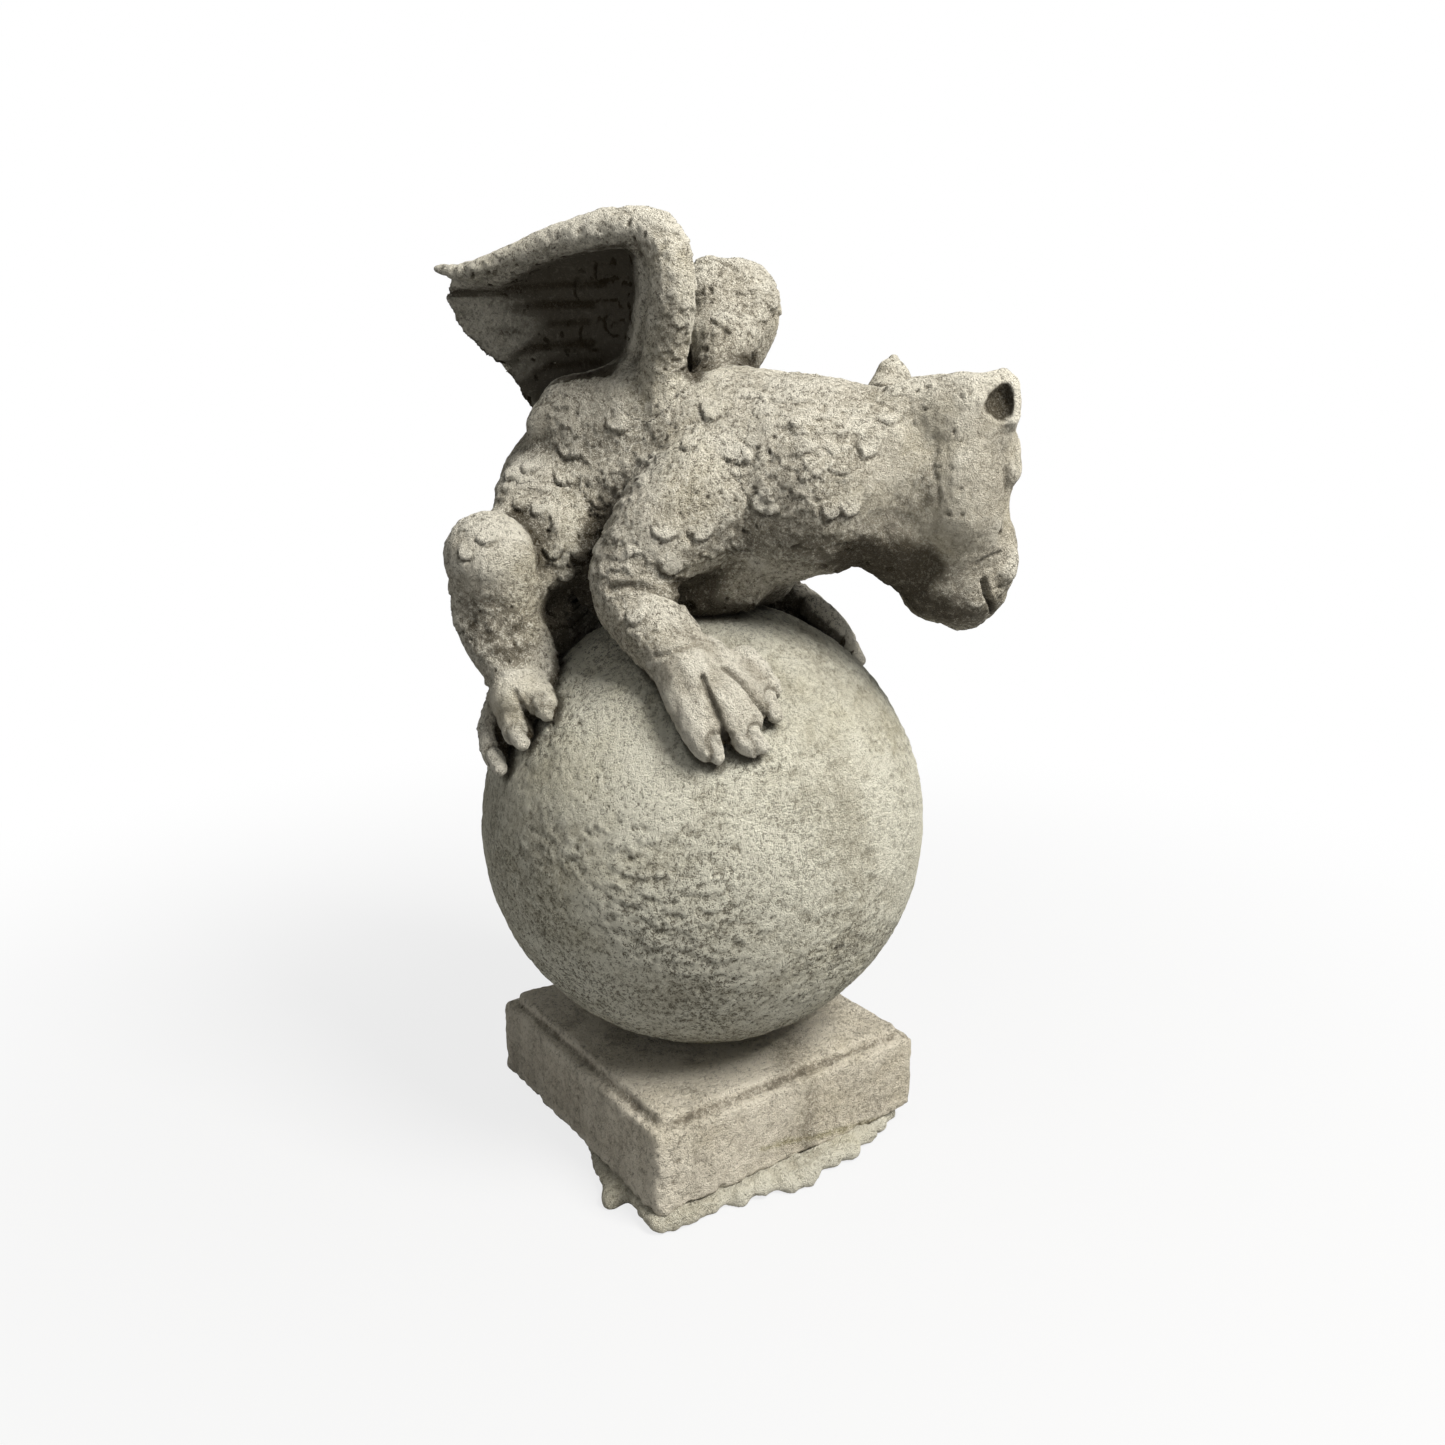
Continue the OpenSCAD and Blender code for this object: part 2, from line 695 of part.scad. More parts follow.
module tail_dowel() {
    color(steel) figure() tail_dowel_bar();
}

plinth();
bedding_mortar();
ball();
ball_bed_mortar();
centre_rod();
figure_bed_mortar();
torso();
neck_and_head();
right_wing();
left_wing();
right_foreleg();
left_foreleg();
right_hind_leg();
left_hind_leg();
tail();
neck_dowel();
wing_dowels();
foreleg_dowels();
hind_leg_dowels();
tail_dowel();
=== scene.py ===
import math
import bpy
import numpy as np
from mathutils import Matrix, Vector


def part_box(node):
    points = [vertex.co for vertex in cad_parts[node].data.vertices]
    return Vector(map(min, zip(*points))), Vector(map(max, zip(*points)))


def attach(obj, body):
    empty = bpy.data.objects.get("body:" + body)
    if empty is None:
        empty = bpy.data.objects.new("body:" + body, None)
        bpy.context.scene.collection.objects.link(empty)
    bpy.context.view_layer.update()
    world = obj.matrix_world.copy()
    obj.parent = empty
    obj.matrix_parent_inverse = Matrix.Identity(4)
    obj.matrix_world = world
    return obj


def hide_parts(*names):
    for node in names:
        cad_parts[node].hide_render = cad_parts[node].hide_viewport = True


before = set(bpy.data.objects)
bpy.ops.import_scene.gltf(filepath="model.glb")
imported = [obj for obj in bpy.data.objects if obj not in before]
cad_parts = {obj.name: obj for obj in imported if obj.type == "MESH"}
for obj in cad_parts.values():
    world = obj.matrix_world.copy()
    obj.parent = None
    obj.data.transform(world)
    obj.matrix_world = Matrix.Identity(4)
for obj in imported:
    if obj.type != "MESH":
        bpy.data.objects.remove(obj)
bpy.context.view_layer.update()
import openvdb
from mathutils import Matrix, Vector

# Camera, as fitted to the plinth's corners and the ball's outline: millimetres and photo pixels
EYE = np.array([-329.056, -474.218, 349.217])
AIM = np.array([0.0, 0.0, 253.449])
ROLL = math.radians(-0.185)
FOCAL = 1200.0
SIDE = 1445.0
PRINCIPAL = np.array([701.415, 619.483])
SENSOR = 36.0

MM = 0.001
# The clay's cell in millimetres, and for how many cells it keeps distances
VOXEL = 1.0
BAND = 12
# Where the figure heads, how far the left forepaw is turned and raised against the right one's
# mirror image, in degrees, and how high the right and the left wing rise over the ball
HEADING = math.radians(-65)
LEFT_PAW = (-8.0, 7.0)
WING_RISE = (168.0, 156.0)

FIGURE = ["torso", "neck_and_head", "right_wing", "left_wing", "right_foreleg", "left_foreleg",
          "right_hind_leg", "left_hind_leg", "tail"]
INNER = ["centre_rod", "figure_bed_mortar", "neck_dowel", "wing_dowels", "foreleg_dowels",
         "hind_leg_dowels", "tail_dowel"]
# How softly each casting runs into the body, in millimetres
FILLET = {"right_wing": 9, "left_wing": 9, "right_foreleg": 8, "left_foreleg": 8,
          "right_hind_leg": 5, "left_hind_leg": 5, "tail": 8}

BALL_LOW, BALL_HIGH = (np.array(v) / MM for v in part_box("ball"))
BALL_R = (BALL_HIGH[0] - BALL_LOW[0]) / 2
BALL_C = np.array([0, 0, BALL_HIGH[2] - BALL_R])
SEAT = BALL_LOW[2]


# Small mathematics

def unit(v):
    v = np.asarray(v, float)
    return v / np.maximum(np.linalg.norm(v, axis=-1, keepdims=True), 1e-9)


def ramp(low, high, x):
    t = np.clip((x - low) / (high - low), 0, 1)
    return t * t * (3 - 2 * t)


def beside(p, a, b):
    """How far along a straight piece points lie, from 0 to 1, and how far off it."""
    ab = b - a
    t = np.clip((p - a) @ ab / max(ab @ ab, 1e-9), 0, 1)
    return t, np.linalg.norm(p - a - t[..., None] * ab, axis=-1)


def line_gap(p, line):
    """How far points lie from a line through a few places."""
    return np.min([beside(p, a, b)[1] for a, b in zip(line[:-1], line[1:])], axis=0)


def smooth_min(a, b, k):
    h = np.maximum(k - np.abs(a - b), 0) / k
    return np.minimum(a, b) - h * h * k / 4


def smooth_max(a, b, k):
    return -smooth_min(-a, -b, k)


AHEAD = unit(AIM - EYE)
LEVEL = unit(np.cross(AHEAD, [0, 0, 1]))
RIGHT = LEVEL * math.cos(ROLL) + np.cross(LEVEL, AHEAD) * math.sin(ROLL)
UP = np.cross(RIGHT, AHEAD)


def pixel(p):
    """Where the camera sees a point, in photo pixels."""
    q = p - EYE
    depth = q @ AHEAD
    across = PRINCIPAL[0] + FOCAL * (q @ RIGHT) / depth
    down = PRINCIPAL[1] - FOCAL * (q @ UP) / depth
    return np.stack([across, down], -1)


def ray(px, py):
    """The camera's line of sight through a pixel."""
    return unit(RIGHT * (px - PRINCIPAL[0]) / FOCAL - UP * (py - PRINCIPAL[1]) / FOCAL + AHEAD)


def to_figure(p):
    """Points as the figure has them: ahead, to its left and up from the ball's middle."""
    c, s = math.cos(HEADING), math.sin(HEADING)
    q = np.atleast_2d(p) - BALL_C
    return np.stack([q[:, 0] * c + q[:, 1] * s, q[:, 1] * c - q[:, 0] * s, q[:, 2]], 1)


def from_figure(q):
    c, s = math.cos(HEADING), math.sin(HEADING)
    return np.stack([q[:, 0] * c - q[:, 1] * s, q[:, 1] * c + q[:, 0] * s, q[:, 2]], 1) + BALL_C


def mirrored(p):
    """A point of the right side on the left one."""
    return from_figure(to_figure(p) * [1, -1, 1])


def left_wing(p, back=False):
    """A point of the right wing on the left one, which stands lower, or the way back."""
    q = to_figure(p) * [1, -1, 1]
    share = WING_RISE[0] / WING_RISE[1] if back else WING_RISE[1] / WING_RISE[0]
    q[:, 2] = BALL_R + (q[:, 2] - BALL_R) * share
    return from_figure(q)


def left_paw(p):
    """A point of the right forepaw on the left one, which rests further back and higher."""
    q = to_figure(p)
    over = np.linalg.norm(q, axis=1)
    turn = np.arctan2(q[:, 1], q[:, 0]) + math.radians(LEFT_PAW[0])
    rise = np.arcsin(q[:, 2] / over) + math.radians(LEFT_PAW[1])
    q = np.stack([np.cos(turn) * np.cos(rise), np.sin(turn) * np.cos(rise), np.sin(rise)], 1)
    return from_figure(q * over[:, None] * [1, -1, 1])


# Seeded noise

def lattice(i, j, k, seed):
    h = (i.astype(np.uint32) * np.uint32(374761393) + j.astype(np.uint32) * np.uint32(668265263)
         + k.astype(np.uint32) * np.uint32(2246822519) + np.uint32(seed * 974711 + 17))
    h = (h ^ (h >> np.uint32(13))) * np.uint32(1274126177)
    h = (h ^ (h >> np.uint32(15))) * np.uint32(2654435761)
    return (h ^ (h >> np.uint32(16))).astype(np.float64) / 2 ** 32


def corners(f):
    """The corners of a unit cell, with the share that each has in places inside it."""
    for corner in np.ndindex(2, 2, 2):
        a, b, c = (f[:, axis] if far else 1 - f[:, axis] for axis, far in enumerate(corner))
        yield corner, a * b * c


def noise(p, size, seed):
    """Smooth noise from -1 to 1, with lumps of about that size."""
    q = p / size
    base = np.floor(q)
    f = q - base
    f = f * f * (3 - 2 * f)
    i, j, k = base.astype(np.int64).T
    total = sum(share * lattice(i + dx, j + dy, k + dz, seed) for (dx, dy, dz), share in corners(f))
    return 2 * total - 1


def rough(p, size, octaves, seed):
    """Noise with finer noise on it."""
    return sum(noise(p, size / 2 ** o, seed + o) / 2 ** o for o in range(octaves))


def crumple(p, reach, size, seed):
    """Points shifted about, so that what is scattered over them isn't round."""
    return p + reach * np.stack([noise(p, size, seed + axis) for axis in range(3)], 1)


def scattered(p, cell, seed):
    """Seeded spots in the cells round each point, and a seeded share for each spot."""
    base = np.floor(p / cell).astype(np.int64) - 1
    for step in np.ndindex(3, 3, 3):
        at = base + step
        shift = [lattice(*at.T, seed + axis) for axis in range(3)]
        yield (at + np.stack(shift, 1)) * cell, lattice(*at.T, seed + 3)


def pits(p, cell, share, small, large, seed):
    """How deep a point lies in round pits scattered through space, from 0 to 1."""
    depth = np.zeros(len(p))
    for spot, pick in scattered(p, cell, seed):
        r = small + (large - small) * (pick / share)
        near = np.linalg.norm(p - spot, axis=1) / r
        depth = np.maximum(depth, np.where(pick < share, 1 - near, 0))
    return depth


def flakes(p, cell, seed, steep=1.7):
    """How far a point lies down its flake, from -1 at the upper edge to 1 at the free lower edge."""
    nearest = np.full(len(p), 1e9)
    slide = np.zeros(len(p))
    for spot, pick in scattered(p, cell, seed):
        away = np.linalg.norm(p - spot, axis=1)
        slide = np.where(away < nearest, (spot - p)[:, 2], slide)
        nearest = np.minimum(nearest, away)
    return np.clip(steep * slide / cell, -1, 1)


# Clay: a block of signed distances, in millimetres

def blur(field, s):
    """A field averaged over about that many cells."""
    n = int(math.ceil(2.5 * s))
    w = np.exp(-0.5 * (np.arange(-n, n + 1) / s) ** 2)
    w = (w / w.sum()).astype(np.float32)
    for axis in range(3):
        padded = np.pad(field, [(n, n) if a == axis else (0, 0) for a in range(3)], mode="edge")
        size = field.shape[axis]
        total = np.zeros_like(field)
        for i, wi in enumerate(w):
            part = slice(i, i + size)
            total += wi * padded[tuple(part if a == axis else slice(None) for a in range(3))]
        field = total
    return field


class Clay:
    def __init__(self, low, high, voxel=VOXEL):
        self.voxel = voxel
        self.start = np.floor(np.asarray(low) / voxel).astype(int) - BAND
        self.shape = tuple(np.ceil(np.asarray(high) / voxel).astype(int) + BAND - self.start)
        self.d = np.full(self.shape, BAND * voxel, np.float32)

    def node(self, name):
        """Signed distance to a CAD node."""
        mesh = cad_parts[name].data
        mesh.calc_loop_triangles()
        points = np.empty(len(mesh.vertices) * 3, np.float32)
        mesh.vertices.foreach_get("co", points)
        faces = np.empty(len(mesh.loop_triangles) * 3, np.int32)
        mesh.loop_triangles.foreach_get("vertices", faces)
        grid = openvdb.FloatGrid.createLevelSetFromPolygons(
            points.reshape(-1, 3) / np.float32(MM), triangles=faces.reshape(-1, 3).astype(np.uint32),
            transform=openvdb.createLinearTransform(self.voxel), halfWidth=BAND)
        out = np.full(self.shape, BAND * self.voxel, np.float32)
        grid.copyToArray(out, tuple(int(v) for v in self.start))
        return out

    def sample(self, field, p):
        g = np.asarray(p) / self.voxel - self.start
        i = np.clip(np.floor(g).astype(int), 0, np.array(self.shape) - 2)
        f = np.clip(g - i, 0, 1)
        i, j, k = i.T
        return sum(share * field[i + dx, j + dy, k + dz] for (dx, dy, dz), share in corners(f))

    def slope(self, p):
        e = np.eye(3) * self.voxel
        return unit(np.stack([self.sample(self.d, p + a) - self.sample(self.d, p - a) for a in e], 1))

    def seen(self, pixels, start=380.0, steps=260, touch=0.05, stride=(0.3, 8)):
        """Where the camera meets the clay at these pixels, or passes it closest."""
        v = ray(*np.asarray(pixels, float).T[:, :, None])
        t = np.full(len(v), start)
        best = np.full(len(v), 1e9)
        best_t = t.copy()
        for step in range(steps):
            d = self.sample(self.d, EYE + v * t[:, None])
            closer = (d < best - 1e-3) & (best > touch)
            best_t = np.where(closer, t, best_t)
            best = np.where(closer, d, best)
            t = t + np.where(best > touch, np.clip(d, *stride), 0)
        return EYE + v * best_t[:, None]

    def window(self, low, high):
        a = np.clip(np.floor(low / self.voxel).astype(int) - self.start, 0, self.shape)
        b = np.clip(np.ceil(high / self.voxel).astype(int) + 1 - self.start, 0, self.shape)
        cut = tuple(slice(i, j) for i, j in zip(a, b))
        axes = [(np.arange(i, j) + s) * self.voxel for i, j, s in zip(a, b, self.start)]
        return cut, np.stack(np.meshgrid(*axes, indexing="ij"), -1)

    def everywhere(self):
        """The window that is the whole block."""
        return self.window(self.start * self.voxel, (self.start + self.shape - 1.5) * self.voxel)

    def stroke(self, points, radii, soft=2.0, cut=False):
        """Adds a round stroke through the points, or cuts it away."""
        points = np.asarray(points, float)
        radii = np.broadcast_to(np.asarray(radii, float), len(points))
        reach = radii.max() + soft + 1
        at, p = self.window(points.min(0) - reach, points.max(0) + reach)
        shape = np.full(p.shape[:3], 1e3)
        last = len(points) - 1
        for i in range(max(last, 1)):
            a, b = points[i], points[min(i + 1, last)]
            ra, rb = radii[i], radii[min(i + 1, last)]
            t, gap = beside(p, a, b)
            shape = np.minimum(shape, gap - ra - t * (rb - ra))
        old = self.d[at]
        self.d[at] = smooth_max(old, -shape, soft) if cut else smooth_min(old, shape, soft)

    def swell(self, pixels, radii, out, soft, copy=None, cut=False):
        """Raises the clay seen at these pixels by that many millimetres, and its copy elsewhere."""
        hit = self.seen(pixels)
        radii = np.broadcast_to(np.asarray(radii, float), len(hit))
        inward = unit(hit - EYE) * (radii - out)[:, None]
        centre = hit - inward if cut else hit + inward
        self.stroke(centre, radii, soft, cut)
        if copy:
            self.stroke(copy(centre), radii, soft, cut)

    def dent(self, pixels, radii, depth, soft, copy=None):
        """Presses the clay seen at these pixels in by that many millimetres."""
        self.swell(pixels, radii, depth, soft, copy, cut=True)

    def drill(self, at, radius, copy, half=20, soft=1.0):
        """Cuts a round notch through the clay along the line of sight, and its copy."""
        hit = self.seen([at])
        line = np.concatenate([hit - half * ray(*at), hit + half * ray(*at)])
        self.stroke(line, radius, soft, cut=True)
        self.stroke(copy(line), radius, soft, cut=True)

    def roughen(self, height, size, seed):
        """Makes the surface uneven before it is skinned."""
        near = np.nonzero(np.abs(self.d) < 4 * self.voxel + height)
        spots = (np.stack(near, 1) + self.start) * self.voxel
        self.d[near] += (height * rough(spots, size, 3, seed)).astype(np.float32)

    def blurred(self, sigma):
        """The distances averaged over a ball of about that many millimetres."""
        return blur(self.d, sigma / self.voxel)

    def crowding(self, reach):
        """The share of solid stone within that reach, the ball's included."""
        at, p = self.everywhere()
        solid = np.zeros(self.shape, np.float32)
        solid[at] = (self.d[at] < 0) | (np.linalg.norm(p - BALL_C, axis=-1) < BALL_R)
        return blur(solid, reach / self.voxel)

    def skin(self):
        """The surface as points and four-sided faces that look outwards."""
        grid = openvdb.FloatGrid(BAND * self.voxel)
        grid.transform = openvdb.createLinearTransform(self.voxel)
        grid.copyFromArray(self.d.astype(np.float32), tuple(int(v) for v in self.start))
        points, quads = grid.convertToQuads(0.0)
        points, quads = points.astype(float), quads.astype(np.int64)
        a, b, c, d = (points[quads[:, i]] for i in range(4))
        volume = sum(np.einsum("ij,ij->i", a, np.cross(*side)).sum() for side in ((b, c), (c, d)))
        return points, quads if volume > 0 else quads[:, ::-1]


def point_normals(points, quads):
    """Outward directions at a mesh's points."""
    a, b, c, d = (points[quads[:, i]] for i in range(4))
    face = np.cross(c - a, d - b)
    out = np.zeros_like(points)
    for i in range(4):
        for axis in range(3):
            out[:, axis] += np.bincount(quads[:, i], face[:, axis], len(points))
    return unit(out)


def main_shell(quads, count, steps=2000):
    """Which faces hang together as the largest shell."""
    shell = np.arange(count)
    for step in range(steps):
        least = shell[quads].min(1)
        before = shell.copy()
        for i in range(4):
            np.minimum.at(shell, quads[:, i], least)
        shell = shell[shell]
        if np.array_equal(shell, before):
            break
    each = shell[quads[:, 0]]
    return each == np.bincount(each).argmax()


def largest(points, quads):
    """Leaves out loose crumbs and voids beside the largest shell."""
    used, flat = np.unique(quads[main_shell(quads, len(points))], return_inverse=True)
    return points[used], flat.reshape(-1, 4)


def whole_castings(quads, owner, count, steps=40):
    """Gives each small island of a casting to the casting around it."""
    nobody = len(FIGURE)
    owner = owner.astype(int)
    for i in range(nobody):
        mine = np.nonzero(owner == i)[0]
        owner[mine[~main_shell(quads[mine], count)]] = nobody
    for step in range(steps):
        nearby = np.full(count, nobody)
        known = owner < nobody
        nearby[quads[known]] = owner[known][:, None]
        owner[~known] = nearby[quads[~known]].min(1)
    return owner


# The figure

def model_figure():
    """Joins the figure's castings as one sculpture and says which casting is nearest where."""
    boxes = [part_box(n) for n in FIGURE]
    low = np.min([b[0] for b in boxes], 0) / MM
    high = np.max([b[1] for b in boxes], 0) / MM
    clay = Clay(low, high)
    nearest = np.full(clay.shape, 1e3, np.float32)
    label = np.zeros(clay.shape, np.uint8)
    for i, name in enumerate(FIGURE):
        d = clay.node(name)
        label[d < nearest] = i
        nearest = np.minimum(nearest, d)
        clay.d = smooth_min(clay.d, d, FILLET[name]) if name in FILLET else np.minimum(clay.d, d)
    for name in INNER:
        clay.d = np.minimum(clay.d, clay.node(name))
    soften(clay, np.minimum(clay.node("right_wing"), clay.node("left_wing")))
    return clay, label


def soften(clay, wings):
    """Rounds the flat facets of the large forms, less on paws and wings."""
    fine, broad = clay.blurred(1.0), clay.blurred(3.2)
    at, p = clay.everywhere()
    over = (np.linalg.norm(p - BALL_C, axis=-1) - BALL_R).astype(np.float32)
    large = ramp(14, 30, over) * ramp(2, 9, wings[at])
    clay.d[at] = (fine[at] + (broad[at] - fine[at]) * large).astype(np.float32)


# Sculpting, at places read off the photo in its pixels

def on_ball(spot, over):
    """The point that far over the ball that the camera sees at a pixel."""
    v = ray(*spot)
    to = EYE - BALL_C
    b = v @ to
    r = BALL_R + over
    return EYE + v * (-b - math.sqrt(max(b * b - to @ to + r * r, 0)))


def at_depth(clay, pixels, guide, away):
    """Points at these pixels, as far from the camera as the clay is at the guide pixel and more."""
    depth = (clay.seen([guide])[0] - EYE) @ AHEAD + np.broadcast_to(away, len(pixels))
    rays = [ray(*p) for p in pixels]
    return np.array([EYE + v * d / (v @ AHEAD) for v, d in zip(rays, depth)])


def lay(clay, form, cut=False, copy=None):
    """Adds a stroke of clay, or cuts it away, and its copy on the other side."""
    pixels, guide, away, radii, soft = form
    points = at_depth(clay, pixels, guide, away)
    clay.stroke(points, radii, soft, cut)
    if copy:
        clay.stroke(copy(points), radii, soft, cut)


# Strokes: pixels, the pixel whose depth they take, and in millimetres how much further away they
# lie, their half widths and how softly they run in
CROWN = ([(900, 400), (922, 399), (944, 398), (964, 397)], (940, 390), 3, 7, 8)
BROW = ([(1003, 446), (1004, 468)], (1014, 457), 0, 7.4, 4)
NOSE = ([(1003, 557), (1001, 568)], (1012, 560), 0, 6.8, 4)
CHIN = ([(988, 598), (974, 606)], (985, 622), 0, [6.2, 8.2], 6)
UNDER_CHIN = ([(925, 641), (960, 646)], (950, 628), 0, 8, 4)
BRIDGE = ([(1019, 500), (1018, 520)], (1010, 510), 0, 6.2, 4)
NOSE_NOTCH = ([(1010, 536)], (1000, 538), 0, 5.6, 2)
EAR_GUIDE = (1000, 384)
EAR_ROOT = ([(950, 408), (966, 405), (984, 402), (996, 410)], EAR_GUIDE, 9, [9, 9.5, 9, 7], 8)
EAR_RIM = ([(972, 392), (991, 382), (1003, 377), (1011, 383), (1012, 400), (1008, 418)], EAR_GUIDE, 1,
           [6, 4.4, 3.3, 2.8, 2.8, 3.6], 4)
EAR_POCKET = ([(988, 408), (997, 403), (1004, 393), (1002, 411)], EAR_GUIDE, -3, [4.2, 5.6, 4.0, 4.8], 1)
FAR_EAR = ([(890, 388), (891, 374), (894, 359)], (892, 366), 0, [11, 7, 2], 6)
WING_ROOT = ([(546, 428), (585, 415), (626, 394)], (600, 384), 0, [9, 11, 11], 9)
LOBE_GUIDE = (766, 300)
LOBE = ([(712, 277), (738, 284), (750, 301), (741, 326), (726, 352)], LOBE_GUIDE, 0,
        [9.5, 11.6, 12, 11.6, 12], 8)
LOBE_BACK = ([(706, 290), (716, 308), (708, 330)], LOBE_GUIDE, 6, 12, 8)
LOBE_STEM = ([(728, 338), (721, 360), (716, 384)], LOBE_GUIDE, 0, [12.5, 12, 12], 8)
HAUNCH = ([(526, 494), (548, 489)], (555, 510), 22, 13, 12)
KNEE = ([(490, 557), (498, 600), (509, 640)], (500, 560), [12, 21, 21], [20.8, 18.6, 15.5], 3)
CHEST = ([(688, 590), (712, 590), (738, 586)], (730, 575), 17, 11, 12)
FLANK = ([(568, 560), (563, 592), (558, 625), (552, 648)], (580, 600), 10, 13, 3)
# Swellings and dents: pixels, and in millimetres the half width, how far out or in, and softness
CHEEK_DENT = ([(904, 452), (912, 480), (912, 508), (904, 536)], 22, [1.0, 2.0, 2.2, 1.4], 8)
CHEEK = ([(956, 444), (958, 478), (956, 510)], 15, 1.5, 6)
TEMPLE = ([(922, 418), (942, 416), (962, 412)], 14, 1.2, 8)
WING_SHOULDER = ([(572, 408), (598, 404), (620, 398), (634, 392)], 14, [2, 6, 10, 12], 12)
WING_ARMPIT = ([(586, 430), (604, 426), (622, 420)], 13, 4.5, 12)
KNEE_GROOVE = ([(514, 509), (526, 515), (538, 526), (546, 546), (550, 568)], 7, [2.5, 4, 5, 5, 4], 4)
SHIN_DENT = ([(474, 624), (500, 632), (526, 638)], 18, 5.0, 8)


def sculpt_head(clay):
    lay(clay, CROWN)
    clay.dent(*CHEEK_DENT)
    for form in (BROW, NOSE, CHIN):
        lay(clay, form)
    for form in (UNDER_CHIN, BRIDGE, NOSE_NOTCH):
        lay(clay, form, cut=True)
    sculpt_ears(clay)
    clay.swell(*CHEEK)
    clay.swell(*TEMPLE)


def sculpt_ears(clay):
    """Lays both ears, with all depths read before any of their clay is there."""
    ears = (EAR_ROOT, EAR_RIM, EAR_POCKET, FAR_EAR)
    placed = [at_depth(clay, *ear[:3]) for ear in ears]
    for points, ear in zip(placed, ears):
        clay.stroke(points, *ear[3:], cut=ear is EAR_POCKET)


# Outline of the right wing's hollow inside its rolled rim, how deep it is pressed in millimetres,
# and the notches in its lower edge with their half width
WING_HOLLOW = np.array([(425, 286), (456, 287), (500, 283), (536, 264), (570, 254), (600, 246), (624, 243),
                        (635, 256), (641, 292), (636, 325), (628, 354), (612, 379), (560, 402),
                        (530, 420), (440, 350)], float)
WING_DEPTH = 12.0
WING_NOTCHES = [(455, 338), (473, 356), (506, 383), (523, 407)]
NOTCH_R = 3.6


def inside(outline, at):
    """How far pixels lie inside an outline, negative outside."""
    gap = np.full(at.shape[:-1], 1e6)
    odd = np.zeros(at.shape[:-1], bool)
    for a, b in zip(outline, np.roll(outline, -1, axis=0)):
        gap = np.minimum(gap, beside(at, a, b)[1])
        span = (a[1] > at[..., 1]) != (b[1] > at[..., 1])
        slope = (b[0] - a[0]) / (b[1] - a[1]) if b[1] != a[1] else 0.0
        odd ^= span & (at[..., 0] < a[0] + slope * (at[..., 1] - a[1]))
    return np.where(odd, gap, -gap)


def press_wing(clay, node, to_right, from_right):
    """Pushes the wing sheet back inside its rim, so that the wing is a deep cup."""
    low, high = (np.array(v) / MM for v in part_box(node))
    at, p = clay.window(low - 10, high + 10)
    near = 1 - ramp(9.5, 11.8, np.abs(clay.node(node)[at]))
    twin = to_right(p.reshape(-1, 3))
    view = unit(twin - EYE)
    share = ramp(-2, 11, inside(WING_HOLLOW, pixel(twin))) * near.ravel()
    moved = from_right(twin - view * (WING_DEPTH * share)[:, None])
    clay.d[at] = clay.sample(clay.d, moved).reshape(p.shape[:3])


def same(p):
    return p


def right_wing(p):
    """A point of the left wing on the right one."""
    return left_wing(p, back=True)


def sculpt_wings(clay):
    press_wing(clay, "right_wing", same, same)
    press_wing(clay, "left_wing", right_wing, left_wing)
    lay(clay, WING_ROOT, copy=left_wing)
    clay.swell(*WING_SHOULDER, copy=left_wing)
    clay.swell(*WING_ARMPIT, copy=left_wing)
    for notch in WING_NOTCHES:
        clay.drill(notch, NOTCH_R, left_wing)
    for form in (LOBE, LOBE_BACK, LOBE_STEM):
        lay(clay, form)


def sculpt_body(clay):
    """Sets the knees off from the flanks and closes chest and flanks down to the ball."""
    lay(clay, HAUNCH, copy=mirrored)
    clay.dent(*KNEE_GROOVE, copy=mirrored)
    clay.dent(*SHIN_DENT, copy=mirrored)
    for form in (KNEE, CHEST, FLANK):
        lay(clay, form, copy=mirrored)


# Toes of the right paws from root to tip, and their half widths in millimetres
FORE_TOES = [([(690, 680), (699, 708), (705, 728)], 9.2), ([(720, 680), (735, 702), (745, 720)], 8.6),
             ([(744, 662), (757, 676), (766, 688)], 7.2)]
HIND_TOES = [([(522, 682), (530, 690), (535, 697)], 6.6), ([(502, 695), (509, 711), (513, 723)], 7.0),
             ([(494, 712), (492, 730), (493, 745)], 5.8)]
FORE_CLAWS = [((712, 741), (718, 757)), ((752, 733), (763, 747)), ((769, 699), (776, 716))]
HIND_CLAWS = [((540, 702), (546, 714)), ((516, 732), (522, 744)), ((494, 756), (501, 769))]
# How far the lines of toes and claws run over the ball, and the claws' half widths
TOE_OVER = (8.5, 7, 5.5)
CLAW_OVER = (8.0, 4.5)
CLAW_R = [3.4, 3.1]


def over_ball(pixels, heights):
    return np.array([on_ball(spot, over) for spot, over in zip(pixels, heights)])


def sculpt_paws(clay):
    """Models toes and claws and says where the claws are."""
    claw_spots = []
    for toes, claws, copy in ((FORE_TOES, FORE_CLAWS, left_paw), (HIND_TOES, HIND_CLAWS, mirrored)):
        for line, r in toes:
            p = over_ball(line, TOE_OVER)
            for toe in (p, copy(p)):
                clay.stroke(toe, [r, r, 0.9 * r], soft=2)
        for line in claws:
            p = over_ball(line, CLAW_OVER)
            for claw in (p, copy(p)):
                clay.stroke(claw, CLAW_R, soft=0.5)
                claw_spots.append(claw)
    return np.array(claw_spots)


# Relief pressed into the skin: grooves and scales

